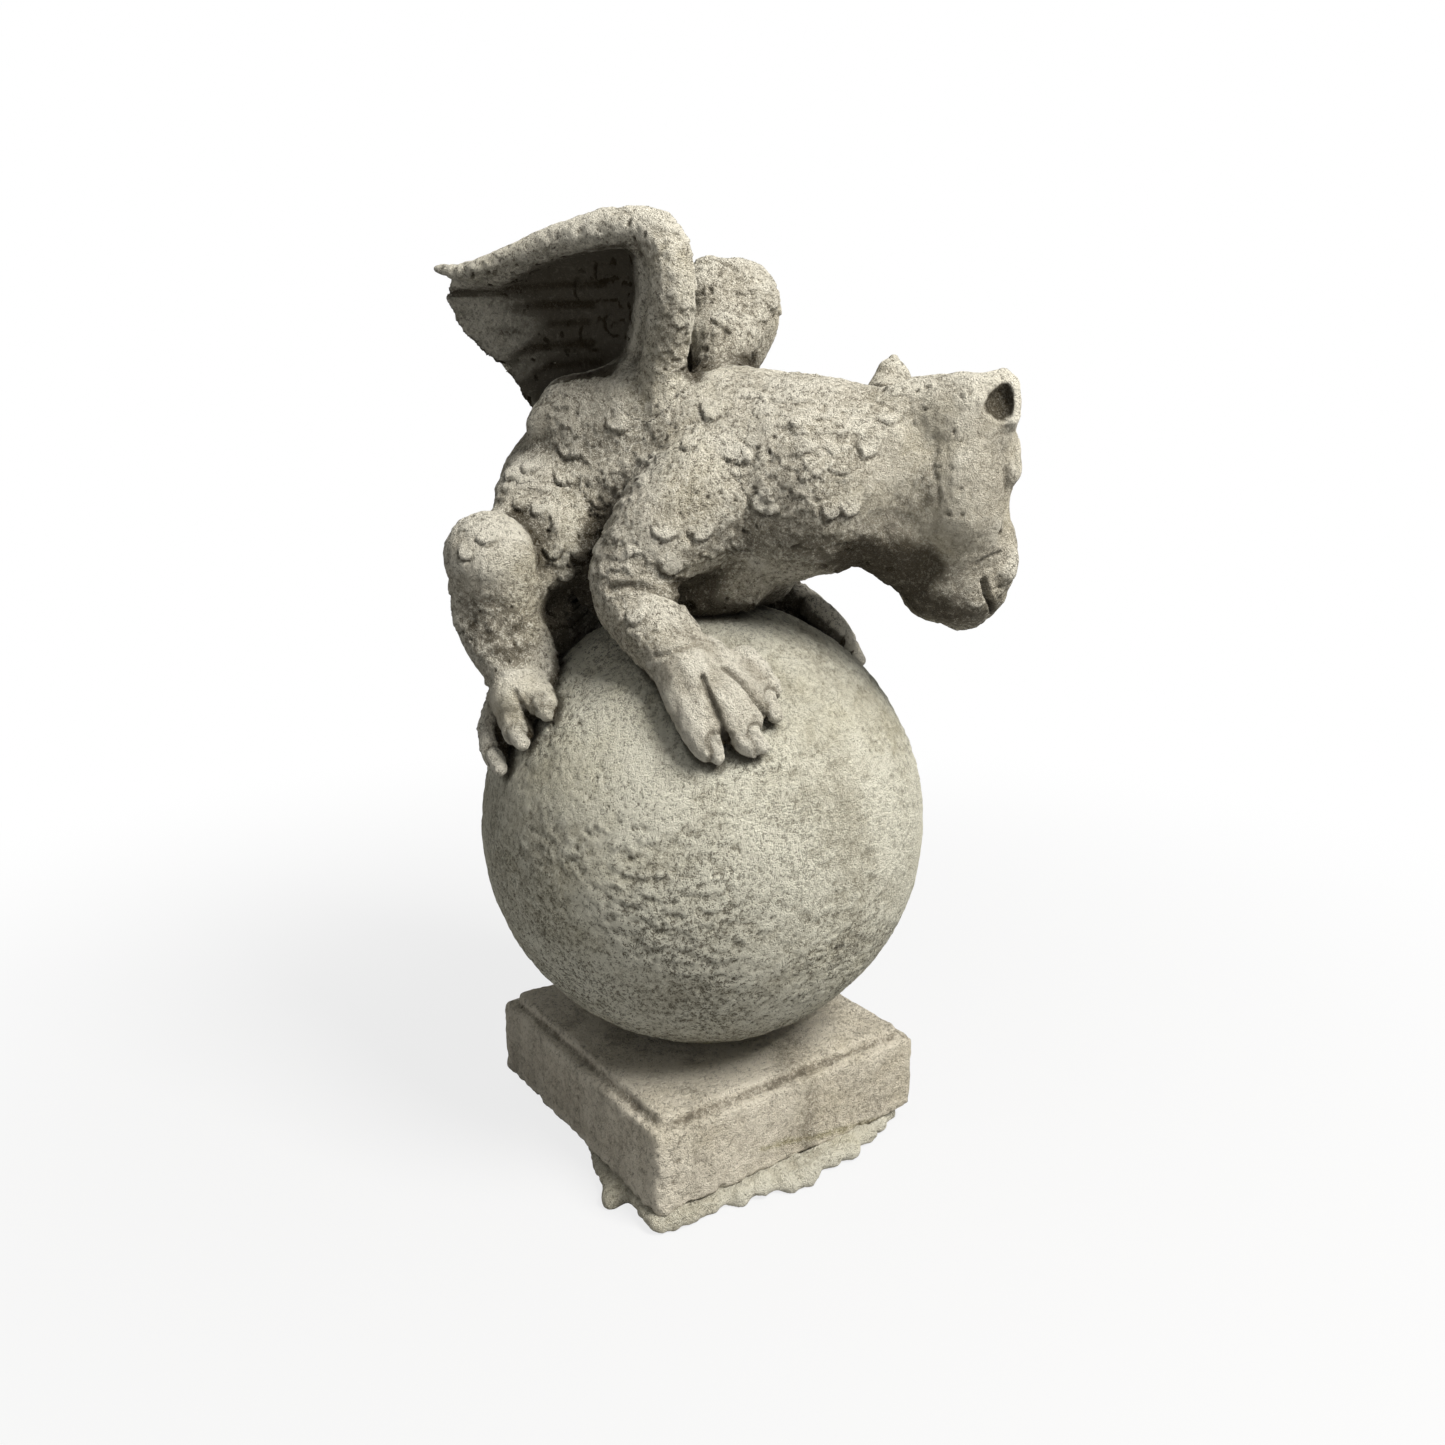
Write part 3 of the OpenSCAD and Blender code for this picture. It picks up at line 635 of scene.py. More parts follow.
# Pixels along a crease, its width and depth in millimetres, and where the other side repeats it
GROOVES = [
    ([(937, 452), (932, 461), (933, 470), (937, 478)], 1.8, 0.7, None),
    ([(940, 493), (938, 504)], 1.6, 0.6, None),
    ([(977, 564), (988, 557), (1000, 553)], 1.6, 0.9, None),
    ([(984, 581), (987, 595), (992, 606), (995, 615)], 2.4, 3.4, None),
    ([(1006, 470), (1006, 488)], 2.4, 1.0, None),
    ([(611, 588), (639, 585), (659, 591), (677, 600), (690, 607)], 3.0, 2.6, mirrored),
    ([(657, 657), (680, 650), (700, 643)], 2.0, 1.0, left_paw),
    ([(674, 630), (691, 637), (707, 639)], 1.6, 0.8, left_paw),
    ([(703, 677), (709, 695), (717, 713), (727, 740)], 2.0, 2.2, left_paw),
    ([(724, 668), (742, 683), (754, 699), (764, 716)], 2.0, 2.2, left_paw),
    ([(709, 742), (715, 738), (722, 744)], 1.6, 1.2, left_paw),
    ([(746, 738), (750, 733), (758, 736)], 1.6, 1.2, left_paw),
    ([(515, 691), (522, 706), (532, 718), (540, 721)], 2.0, 1.7, mirrored),
    ([(492, 711), (496, 729), (503, 744), (510, 754)], 2.0, 1.7, mirrored),
    ([(487, 683), (507, 674), (530, 672)], 2.4, -1.2, mirrored),
    ([(711, 258), (724, 263), (738, 270)], 1.8, 1.3, None),
    ([(711, 321), (728, 333)], 1.8, 1.3, None),
    ([(604, 284), (540, 286), (448, 292)], 3.0, 0.25, left_wing),
    ([(592, 304), (530, 306), (460, 314)], 3.4, 0.35, left_wing),
    ([(588, 322), (530, 326), (474, 336)], 3.0, 0.25, left_wing),
    ([(592, 343), (540, 347), (488, 356)], 3.4, 0.35, left_wing),
    ([(600, 362), (555, 366), (506, 376)], 3.0, 0.25, left_wing),
    ([(606, 376), (560, 386), (524, 396)], 3.0, 0.3, left_wing),
]
# Scales: pixel, half width and half length in pixels, turn of the free edge, height in millimetres
SCALES = [
    (714, 405, 15, 17, 20, 1.5), (728, 448, 12, 26, -60, 1.3), (691, 440, 9, 13, 20, 1.2),
    (768, 501, 14, 15, 35, 2.0), (831, 509, 11, 12, 10, 1.7), (851, 506, 11, 12, -10, 1.5),
    (869, 440, 14, 16, 10, 1.4), (890, 415, 13, 10, -10, 1.5), (665, 529, 14, 11, 10, 1.5),
    (700, 531, 13, 11, 0, 1.2), (672, 563, 15, 13, 5, 1.6), (635, 612, 12, 11, 0, 1.2),
    (568, 448, 12, 11, 20, 1.3), (565, 474, 14, 13, 20, 1.5), (618, 424, 12, 8, 15, 1.1),
    (514, 471, 10, 12, 30, 1.5), (532, 463, 10, 12, 20, 1.5), (554, 545, 11, 12, 0, 1.6),
    (581, 551, 11, 12, 0, 1.6), (568, 571, 9, 12, 0, 1.6), (487, 535, 11, 9, 0, 1.3),
    (465, 551, 9, 9, 20, 1.2), (604, 272, 10, 8, 60, 1.4), (585, 292, 12, 9, 70, 1.3),
    (614, 326, 11, 9, 60, 1.4), (590, 337, 11, 8, 60, 1.2), (640, 476, 9, 6, 0, 0.9),
    (655, 452, 9, 7, 0, 0.8), (600, 500, 10, 8, 10, 1.0), (540, 505, 10, 9, 10, 1.1),
    (520, 500, 9, 9, 20, 1.1), (745, 545, 11, 9, 10, 1.0), (790, 540, 11, 9, 10, 1.0),
    (800, 420, 9, 8, 10, 0.7), (840, 465, 11, 9, 10, 0.8), (740, 470, 9, 8, 20, 0.8),
]


class Skin:
    """The sculpted surface with its relief, in millimetres along the normal."""

    def __init__(self, clay):
        self.clay = clay
        self.points, self.quads = largest(*clay.skin())
        self.normals = point_normals(self.points, self.quads)
        self.relief = np.zeros(len(self.points))
        # Darkening that is partly soiling and partly painted shade, from 0 to 1.
        self.dirt_and_shade = np.zeros(len(self.points))
        self.grit = np.ones(len(self.points))

    def near(self, centre, reach):
        """Which points lie in a box round a place."""
        return np.nonzero(np.all(np.abs(self.points - centre) < reach, axis=1))[0]

    def groove(self, line, width, depth):
        """Presses a crease along a line and darkens it with painted shade, or raises a ridge where the
        depth is negative.
        """
        middle = (line.min(0) + line.max(0)) / 2
        who = self.near(middle, (line.max(0) - line.min(0)) / 2 + width + 1)
        press = 1 - ramp(0.2 * width, width, line_gap(self.points[who], line))
        self.relief[who] -= depth * press
        if depth > 0:
            # Painted shade in the crease.
            self.dirt_and_shade[who] = np.maximum(self.dirt_and_shade[who], press * min(1, depth / 1.5))

    def scale(self, at, normal, down, half_w, half_l, height):
        """A plate that rises to its free edge, with a groove round it darkened as a painted shadow."""
        down = unit(down - normal * (down @ normal))
        across = np.cross(normal, down)
        who = self.near(at, 1.6 * max(half_w, half_l))
        who = who[self.normals[who] @ normal > 0.25]
        q = self.points[who] - at
        wobble = 1 + 0.22 * noise(self.points[who], 4.5, 31) + 0.10 * noise(self.points[who], 2.0, 33)
        u, v = q @ across / half_w, q @ down / half_l
        r = np.hypot(u, v) * wobble
        thin = np.abs(q @ normal) < 8
        plate = (1 - ramp(0.84, 1.0, r)) * ramp(-0.9, 0.8, v) * thin
        moat = np.exp(-((r - 1.10) / 0.12) ** 2) * ramp(-0.2, 0.7, v) * thin
        self.relief[who] += height * (0.9 * plate - 0.6 * moat)
        # The dark line round the plate is a painted shadow.
        self.dirt_and_shade[who] = np.maximum(self.dirt_and_shade[who], 0.9 * moat)


def press_grooves(skin):
    clay = skin.clay
    for pixels, width, depth, other in GROOVES:
        line = clay.seen(pixels)
        skin.groove(line, width, depth)
        if other:
            skin.groove(settle(clay, other(line)), width, depth)


def settle(clay, p):
    """Moves points onto the nearest skin."""
    for step in range(4):
        p = p - clay.slope(p) * clay.sample(clay.d, p)[:, None]
    return p


def press_scales(skin):
    clay = skin.clay
    hits = clay.seen([scale[:2] for scale in SCALES])
    px = np.linalg.norm(hits - EYE, axis=1) / FOCAL
    for hit, size, (x, y, half_w, half_l, turn, height) in zip(hits, px, SCALES):
        a = math.radians(turn)
        down = -UP * math.cos(a) - RIGHT * math.sin(a)
        twin = settle(clay, mirrored(hit[None]))[0]
        for at, way in ((hit, down), (twin, mirrored(down + BALL_C)[0] - BALL_C)):
            normal = clay.slope(at[None])[0]
            skin.scale(at, normal, way, half_w * size, half_l * size, height)


# Smooth places on the right side: pixel, near and far reach in millimetres, share of grit left
CALM = [((965, 490), 30, 62, 0.55), ((716, 700), 18, 42, 0.40), ((515, 712), 12, 28, 0.45),
        ((490, 545), 12, 30, 0.65)]
# Spots of painted shade, or of painted light below 0: pixel, near and far reach in millimetres, strength
SHADE_AND_LIGHT_SPOTS = [((496, 636), 6, 26, 0.5), ((882, 570), 6, 34, 0.3), ((912, 486), 3, 24, 0.2),
          ((932, 590), 6, 42, 0.2), ((999, 402), 4, 9, 0.9), ((928, 420), 5, 24, -0.5),
          ((958, 541), 5, 22, -0.4), ((636, 628), 8, 26, -0.4)]


def away_from(skin, spot, near, far):
    """From 0 at a place and at its mirror place to 1 beyond reach, one after the other."""
    hit = skin.clay.seen([spot])
    for at in (hit, mirrored(hit)):
        yield ramp(near, far, np.linalg.norm(skin.points - at, axis=1))


def calm(skin):
    """How gritty the stone is, from little on face, paws and knees to all of it."""
    grit = np.ones(len(skin.points))
    for spot, near, far, left in CALM:
        for away in away_from(skin, spot, near, far):
            grit = np.minimum(grit, left + (1 - left) * away)
    return grit


# Painted shade and painted light round each listed spot and its mirror place, made uneven by noise.
def painted_spots(skin):
    total = np.zeros(len(skin.points))
    for spot, near, far, strength in SHADE_AND_LIGHT_SPOTS:
        for away in away_from(skin, spot, near, far):
            total += strength * (1 - away)
    return total * (1 + 0.5 * noise(skin.points, 5.5, 35) + 0.4 * noise(skin.points, 2.2, 36))


def press_grain(skin):
    """Lumps, flakes, brush strokes and pits of the cast stone, fewer on smooth places, with painted shade
    in the pits and along each flake's upper edge.
    """
    p = skin.points
    skin.grit = calm(skin)
    crumpled = crumple(p, reach=1.4, size=3.4, seed=91)
    skin.relief += 0.5 * rough(p, size=13, octaves=3, seed=3)
    skin.relief += skin.grit * (0.36 * noise(crumpled, 4.2, 8) + 0.30 * noise(crumpled, 2.4, 9))
    brushed = ramp(-0.3, 0.4, noise(p, size=30, seed=5))
    skin.relief += 0.30 * brushed * noise(p * [1, 1, 0.22], size=1.9, seed=11)
    flaked = ramp(-0.25, 0.35, noise(p, size=24, seed=17)) * ramp(0.6, 1.0, skin.grit)
    slide = flakes(crumpled, cell=6.5, seed=25)
    skin.relief += 0.6 * flaked * slide
    pitted = ramp(-0.55, 0.25, noise(p, size=26, seed=15))
    deep = pits(crumpled, cell=4.4, share=0.6, small=0.7, large=1.9, seed=21) * pitted * skin.grit
    skin.relief -= 1.1 * ramp(0, 0.6, deep)
    # Painted shade in the pits.
    skin.dirt_and_shade = np.maximum(skin.dirt_and_shade, ramp(0.05, 0.5, deep))
    # Painted shade along each flake's upper edge, beneath the free edge of the flake above.
    skin.dirt_and_shade = np.maximum(skin.dirt_and_shade, 0.6 * flaked * (1 - ramp(-0.95, -0.6, slide)))


# Between these pixel columns the painted shade in the wing's cup grows towards the rolled rim on the right
WING_SHADE_COLUMNS = (480, 625)


def wing_shade_and_soiling(skin, owner):
    """Painted shade with some soiling in the wings' cups, on faces turned to the camera, most beneath the
    rolled rim.
    """
    p, n = skin.points, skin.normals
    total = np.zeros(len(p))
    twins = {"right_wing": (p, n), "left_wing": (right_wing(p), mirrored(n + BALL_C) - BALL_C)}
    for node, (twin, out) in twins.items():
        at = pixel(twin)
        facing = np.einsum("ij,ij->i", out, unit(EYE - twin))
        cup = ramp(0.0, 0.3, facing) * ramp(-5, 9, inside(WING_HOLLOW, at))
        total += cup * (owner == FIGURE.index(node)) * (0.36 + 0.64 * ramp(*WING_SHADE_COLUMNS, at[:, 0]))
    return total


def owners(clay, label, p):
    """Which casting is nearest at these points."""
    i, j, k = (np.round(p / clay.voxel).astype(int) - clay.start).T
    return label[i, j, k]


def claws_apart(skin, claw_spots):
    """Cuts a ring groove where each claw leaves its toe, darkened with painted shade, and says where the
    claws are.
    """
    gap = np.full(len(skin.points), 1e3)
    for claw in claw_spots:
        gap = np.minimum(gap, line_gap(skin.points, claw))
    ring = np.exp(-((gap - 4.8) / 0.8) ** 2)
    skin.relief -= 0.8 * ring
    # Painted shade in the ring.
    skin.dirt_and_shade = np.maximum(skin.dirt_and_shade, ring)
    return 1 - ramp(3.9, 4.6, gap)


def shade_and_weathering(skin, owner, claw):
    """Soiling mixed with painted shade, painted shade in hollows and on faces that turn down, pale wear
    with painted highlight on crests and upward faces, and grit of the skin, each from 0 to 1.
    """
    clay, p, n = skin.clay, skin.points, skin.normals
    bend = clay.sample(clay.blurred(4.0), p)
    crowd = ramp(0.24, 0.50, clay.sample(clay.crowding(12.0), p + n * 8))
    over = np.linalg.norm(p - BALL_C, axis=1) - BALL_R
    # Painted shade on faces that turn down, fading in from 24 to 50 mm above the ball.
    underside_shade = ramp(0.0, 0.75, -n[:, 2]) * ramp(24, 50, over)
    cup = wing_shade_and_soiling(skin, owner)
    # Painted shade from clay close in front, from concave bends and from crowding, with more on downward
    # faces and in the wings' cups.
    hollow = 0.5 * shade(clay, p, n) + 0.3 * np.clip(-bend, 0, 1) + 0.7 * crowd
    hollow = np.clip(hollow + 0.42 * underside_shade + 0.75 * cup, 0, 1)
    # Spots of painted shade and painted light are added, and claws lose most of the painted shade.
    hollow = np.clip(hollow + painted_spots(skin), 0, 1) * (1 - 0.8 * claw)
    # Pale wear on convex bends and raised relief, and painted highlight on upward faces, claws kept palest.
    wear_and_highlight = 0.5 * np.clip(bend, -1, 1.5) + 0.5 * skin.relief + 0.4 * ramp(0.2, 0.9, n[:, 2]) + claw
    return {"dirt_and_shade": skin.dirt_and_shade, "hollow": hollow, "wear_and_highlight": np.clip(wear_and_highlight, 0, 1),
            "grit": skin.grit * (1 - 0.8 * cup)}


def shade(clay, p, n):
    """How much clay stands close in front of points, from 0 to 1."""
    reach = (3, 6, 10)
    return sum(np.clip(1 - clay.sample(clay.d, p + n * d) / d, 0, 1) for d in reach) / len(reach)


def finished_figure(clay, label):
    """The figure's skin with its relief, the casting that each face belongs to, and its worn and soiled
    tones with painted shade and painted highlight.
    """
    sculpt_head(clay)
    sculpt_wings(clay)
    sculpt_body(clay)
    claw_spots = sculpt_paws(clay)
    skin = Skin(clay)
    press_grooves(skin)
    press_scales(skin)
    press_grain(skin)
    claw = claws_apart(skin, claw_spots)
    values = shade_and_weathering(skin, owners(clay, label, skin.points), claw)
    centres = skin.points[skin.quads].mean(1)
    pieces = whole_castings(skin.quads, owners(clay, label, centres), len(skin.points))
    skin.points = skin.points + skin.normals * skin.relief[:, None]
    return skin, pieces, values


# Meshes

def add_object(name, data):
    made = bpy.data.objects.new(name, data)
    bpy.context.scene.collection.objects.link(made)
    return made


def make_mesh(name, points, quads, values, triangles=()):
    """A smooth mesh in metres, with the values as attributes of its points."""
    mesh = bpy.data.meshes.new(name)
    triangles = np.array(triangles, np.int64).reshape(-1, 3)
    loops = np.concatenate([quads.ravel(), triangles.ravel()])
    starts = np.concatenate([np.arange(len(quads)) * 4, 4 * len(quads) + np.arange(len(triangles)) * 3])
    mesh.vertices.add(len(points))
    mesh.vertices.foreach_set("co", (points * MM).astype(np.float32).ravel())
    mesh.loops.add(len(loops))
    mesh.loops.foreach_set("vertex_index", loops.astype(np.int32))
    mesh.polygons.add(len(starts))
    mesh.polygons.foreach_set("loop_start", starts.astype(np.int32))
    mesh.update(calc_edges=True)
    mesh.validate()
    mesh.shade_smooth()
    for key, value in values.items():
        layer = mesh.attributes.new(key, "FLOAT", "POINT")
        layer.data.foreach_set("value", value.astype(np.float32))
    return add_object(name, mesh)


def rim_groups(edges):
    """Open rim edges, grouped where they hang together."""
    parent = {}

    def root(v):
        while parent.setdefault(v, v) != v:
            parent[v] = parent[parent[v]]
            v = parent[v]
        return v
    for a, b in edges:
        parent[root(a)] = root(b)
    groups = {}
    for a, b in edges:
        groups.setdefault(root(a), []).append((a, b))
    return groups.values()


def closed_piece(name, points, normals, quads, values):
    """One casting cut from the skin, closed inside the stone where it meets the others."""
    used, flat = np.unique(quads, return_inverse=True)
    quads = flat.reshape(-1, 4)
    points, normals = points[used], normals[used]
    values = {k: v[used] for k, v in values.items()}
    a = quads.ravel().astype(np.int64)
    b = np.roll(quads, -1, axis=1).ravel().astype(np.int64)
    ways = set((a * len(points) + b).tolist())
    open_edges = [(int(x), int(y)) for x, y in zip(a, b) if int(y) * len(points) + int(x) not in ways]
    triangles, centres = [], []
    for group in rim_groups(open_edges):
        rim = np.unique(group)
        middle = len(points) + len(centres)
        centres.append(points[rim].mean(0) - 3 * unit(normals[rim].mean(0)))
        triangles += [(y, x, middle) for x, y in group]
    if centres:
        points = np.concatenate([points, centres])
        values = {k: np.concatenate([v, np.zeros(len(centres))]) for k, v in values.items()}
    return make_mesh(name, points, quads, values, triangles)


def add_figure(clay, label, material):
    skin, pieces, values = finished_figure(clay, label)
    for i, node in enumerate(FIGURE):
        mine = skin.quads[pieces == i]
        piece = closed_piece(node + "_stone", skin.points, skin.normals, mine, values)
        take_place(piece, node, material)


def take_place(piece, node, material):
    piece.data.materials.append(material)
    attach(piece, "root")
    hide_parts(node)


# Ball, plinth and mortar

def cube_sphere(count):
    """Unit directions over a sphere and its four-sided faces."""
    t = np.tan(np.linspace(-math.pi / 4, math.pi / 4, count + 1))
    u, v = np.meshgrid(t, t, indexing="ij")
    one = np.ones_like(u)
    sides = [(one, u, v), (-one, v, u), (v, one, u), (u, -one, v), (u, v, one), (v, u, -one)]
    points = np.concatenate([np.stack(s, -1).reshape(-1, 3) for s in sides])
    i, j = np.meshgrid(np.arange(count), np.arange(count), indexing="ij")
    n = count + 1
    face = np.stack([i * n + j, (i + 1) * n + j, (i + 1) * n + j + 1, i * n + j + 1], -1).reshape(-1, 4)
    quads = np.concatenate([face + s * n * n for s in range(6)])
    keys, first, back = np.unique(np.round(points * 1e6).astype(np.int64), axis=0,
                                  return_index=True, return_inverse=True)
    return unit(points[first]), back.reshape(-1)[quads]


# The ball's right side gets smoother between these pixel columns
BALL_SMOOTH = (730, 860)


def add_ball(clay, material):
    way, quads = cube_sphere(count=126)
    p = way * BALL_R + BALL_C
    crumpled = crumple(p, reach=1.3, size=3.3, seed=94)
    relief = 0.5 * rough(p, 34, 3, 41) + 0.20 * rough(p, 7, 2, 45) + 0.26 * noise(crumpled, 2.6, 49)
    coarse = ramp(-0.5, 0.3, noise(p, 38, 51) + 0.5 * noise(p, 14, 52))
    slide = flakes(crumpled, cell=6.0, seed=57)
    relief += 0.35 * coarse * slide
    deep = pits(crumpled, cell=3.8, share=0.6, small=0.7, large=1.8, seed=53) * (0.45 + 0.55 * coarse)
    relief -= 0.9 * ramp(0, 0.6, deep)
    deep = np.maximum(deep, 0.4 * coarse * (1 - ramp(-0.95, -0.6, slide)))
    points = p + way * (relief - 0.4)[:, None]
    points[:, 2] = np.maximum(points[:, 2], SEAT)
    low = 1 - ramp(-0.5, 0.1, way[:, 2])
    smooth = ramp(*BALL_SMOOTH, pixel(p)[:, 0]) * (1 - low)
    # Painted shade in the pits, beneath flake edges and where the figure lies close; pale wear with painted
    # highlight on raised relief.
    values = {"dirt_and_shade": 0.6 * ramp(0.05, 0.6, deep),
              "hollow": 0.8 * (1 - ramp(0, 6, clay.sample(clay.d, p))),
              "wear_and_highlight": np.clip(0.45 + 0.8 * relief, 0, 1),
              "grit": (0.7 + 0.3 * coarse + 0.4 * low) * (1 - 0.5 * smooth),
              "moss": 1 - ramp(SEAT + 2, SEAT + 15, p[:, 2] + 3 * noise(p, 9, 58))}
    piece = make_mesh("ball_stone", points, quads, values)
    take_place(piece, "ball", material)


# Half widths of the chips off a block's edges, in millimetres
CHIP_R = (1.2, 3.0)


def worn_block(node, uneven, size, seed, soft, chips=0):
    """A CAD node with worn, chipped edges, as clay."""
    low, high = (np.array(v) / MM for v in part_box(node))
    block = Clay(low, high)
    block.d = block.node(node)
    block.d = block.blurred(soft)
    block.roughen(uneven, size, seed)
    random = np.random.default_rng(seed)
    for p in corner_line(block, random, chips):
        block.stroke([p], random.uniform(*CHIP_R), soft=1.2, cut=True)
    return block


def corner_line(block, random, count):
    """Seeded points just off the sharpest edges of a block."""
    points, quads = block.skin()
    bend = block.sample(block.blurred(3.0), points)
    sharp = points[bend > np.quantile(bend, 0.95)]
    pick = sharp[random.integers(0, len(sharp), count)]
    return pick + unit(block.slope(pick)) * random.uniform(0.6, 2.2, (count, 1))


# How gritty plinth and mortar are
BLOCK_GRIT = 0.75


def add_block(node, material, block, lump, fine, pit, seed, floor=None, top=0.0, pale=None, moss=None):
    """Skins a block with relief, painted shade in pits and hollows and pale wear with painted highlight on
    edges, and where asked a painted highlight on the top, that pale wear and highlight fading towards the
    left, and a line of moss.
    """
    points, quads = largest(*block.skin())
    normals = point_normals(points, quads)
    relief = lump * rough(points, 16, 3, seed) + fine * rough(points, 4, 2, seed + 5)
    deep = pits(points, cell=4.6, share=0.5, small=0.6, large=1.8, seed=seed + 9)
    deep *= ramp(-0.4, 0.4, noise(points, 30, seed + 12))
    relief -= pit * ramp(0, 0.7, deep)
    bend = block.sample(block.blurred(2.5), points)
    # Painted shade from clay close in front and from concave bends.
    hollow = shade(block, points, normals) + np.clip(-bend, 0, 1)
    # Pale wear on edges and raised relief, and a painted highlight on upward faces as much as top asks.
    wear_and_highlight = 0.25 + bend + 0.5 * relief + top * ramp(0.5, 0.9, normals[:, 2])
    # Pits darkened with painted shade.
    values = {"dirt_and_shade": ramp(0.05, 0.6, deep), "hollow": np.clip(hollow, 0, 1),
              "wear_and_highlight": np.clip(wear_and_highlight, 0, 1), "grit": np.full(len(points), BLOCK_GRIT)}
    if pale:
        # Fades the pale wear and painted highlight out towards the left, between the pixel columns given by
        # pale.
        values["wear_and_highlight"] *= ramp(*pale, pixel(points)[:, 0])
    if moss:
        away = line_gap(points, block.seen(moss)) + 1.2 * noise(points, 5, 63)
        values["moss"] = 0.8 * (1 - ramp(0.5, 2.8, away))
    points = points + normals * relief[:, None]
    if floor is not None:
        points[:, 2] = np.maximum(points[:, 2], floor)
    take_place(make_mesh(node + "_stone", points, quads, values), node, material)


# Where moss lines the plinth's step and where mortar still clings to its foot, in photo pixels,
# and the pixel columns between which the mortar sets in and those between which its pale wear and painted
# highlight come in
PLINTH_MOSS = [(761, 1149), (800, 1140), (850, 1127), (896, 1115)]
MORTAR_LUMPS = [(612, 1196), (604, 1212), (766, 1186), (790, 1184), (812, 1172), (834, 1158),
                (852, 1146), (868, 1132), (740, 1200), (880, 1120)]
MORTAR_FROM = (570, 620)
MORTAR_PALE = (690, 760)


def add_mortar(material):
    block = worn_block("bedding_mortar", uneven=1.4, size=21, seed=5, soft=1.8)
    at, p = block.everywhere()
    left = 1 - ramp(*MORTAR_FROM, pixel(p.reshape(-1, 3))[:, 0]).reshape(p.shape[:3])
    block.d[at] += (3.2 * left).astype(np.float32)
    low, high = (np.array(v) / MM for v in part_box("bedding_mortar"))
    random = np.random.default_rng(8)
    for spot in MORTAR_LUMPS:
        hit = np.clip(block.seen([spot])[0], low + 3, high - 3)
        block.stroke([hit, hit * [0.9, 0.9, 1]], random.uniform(2.5, 4.0), soft=5)
    block.roughen(height=0.7, size=6, seed=7)
    add_block("bedding_mortar", material, block, lump=0.5, fine=0.5, pit=0.8, seed=61,
              floor=0.0, pale=MORTAR_PALE)


# Materials

class Shader:
    """The nodes of a material or world, put together link by link."""

    def __init__(self, owner):
        self.owner = owner
        owner.use_nodes = True
        self.tree = owner.node_tree
        self.tree.nodes.clear()
        self.place = self.node("TexCoord").outputs["Object"]

    def node(self, kind, inputs=None, **settings):
        """A node with its settings, each input linked or set to a value."""
        made = self.tree.nodes.new("ShaderNode" + kind)
        for key, value in settings.items():
            setattr(made, key, value)
        for key, value in (inputs or {}).items():
            if isinstance(value, bpy.types.NodeSocket):
                self.tree.links.new(value, made.inputs[key])
            else:
                made.inputs[key].default_value = value
        return made

    def noise(self, scale, detail=3.0, roughness=0.6, stretch=None):
        place = self.place
        if stretch:
            place = self.node("Mapping", {"Vector": place, "Scale": stretch}).outputs["Vector"]
        values = {"Vector": place, "Scale": scale, "Detail": detail, "Roughness": roughness}
        return self.node("TexNoise", values).outputs["Fac"]

    def crumple(self, reach, scale):
        """Makes the places that textures read uneven, so that no pit is round."""
        made = self.node("TexNoise", {"Vector": self.place, "Scale": scale})
        values = {0: made.outputs["Color"], 1: (reach, reach, reach), 2: self.place}
        self.place = self.node("VectorMath", values, operation="MULTIPLY_ADD").outputs[0]

    def attribute(self, name):
        return self.node("Attribute", attribute_name=name).outputs["Fac"]

    def math(self, kind, a, b, clamp=False):
        return self.node("Math", {0: a, 1: b}, operation=kind, use_clamp=clamp).outputs[0]

    def blend(self, a, of_a, b, of_b):
        """So much of one value and so much of another."""
        return self.math("ADD", self.math("MULTIPLY", a, of_a), self.math("MULTIPLY", b, of_b))

    def ramp(self, value, low, high, start=0.0, end=1.0):
        values = {"Value": value, "From Min": low, "From Max": high, "To Min": start, "To Max": end}
        return self.node("MapRange", values, interpolation_type="SMOOTHSTEP").outputs["Result"]

    def mix(self, factor, a, b):
        return self.node("Mix", {0: factor, 6: a, 7: b}, data_type="RGBA").outputs[2]

    def looked_at(self):
        """1 for what is seen straight, mirrored or through glass, 0 for what only gives light."""
        path = self.node("LightPath")
        seen = self.math("ADD", path.outputs["Is Camera Ray"], path.outputs["Is Glossy Ray"])
        return self.math("ADD", seen, path.outputs["Is Transmission Ray"], clamp=True)

    def show(self, surface, kind="OutputMaterial"):
        self.node(kind, {"Surface": surface.outputs[0]})
        return self.owner

    def finish(self, colour, rough, height, strength, distance, metal=0.0):
        """A surface with fine relief, matt or of metal."""
        bump = self.node("Bump", {"Height": height, "Strength": strength, "Distance": distance})
        values = {"Base Color": colour, "Roughness": rough, "Metallic": metal,
                  "Specular IOR Level": 0.5 if metal else 0.08, "Normal": bump.outputs["Normal"]}
        return self.show(self.node("BsdfPrincipled", values))


def linear(r, g, b):
    """A colour read as it looks on screen, from 0 to 255."""
    return tuple((((c / 255 + 0.055) / 1.055) ** 2.4) for c in (r, g, b)) + (1.0,)


WHITE = (1.0, 1.0, 1.0, 1.0)
MOSS = linear(142, 134, 84)
STEEL = linear(120, 120, 122)
STEEL_LIGHT = linear(160, 160, 162)
BED = linear(150, 142, 112)
BED_LIGHT = linear(186, 178, 140)
BED_DARK = linear(92, 84, 58)


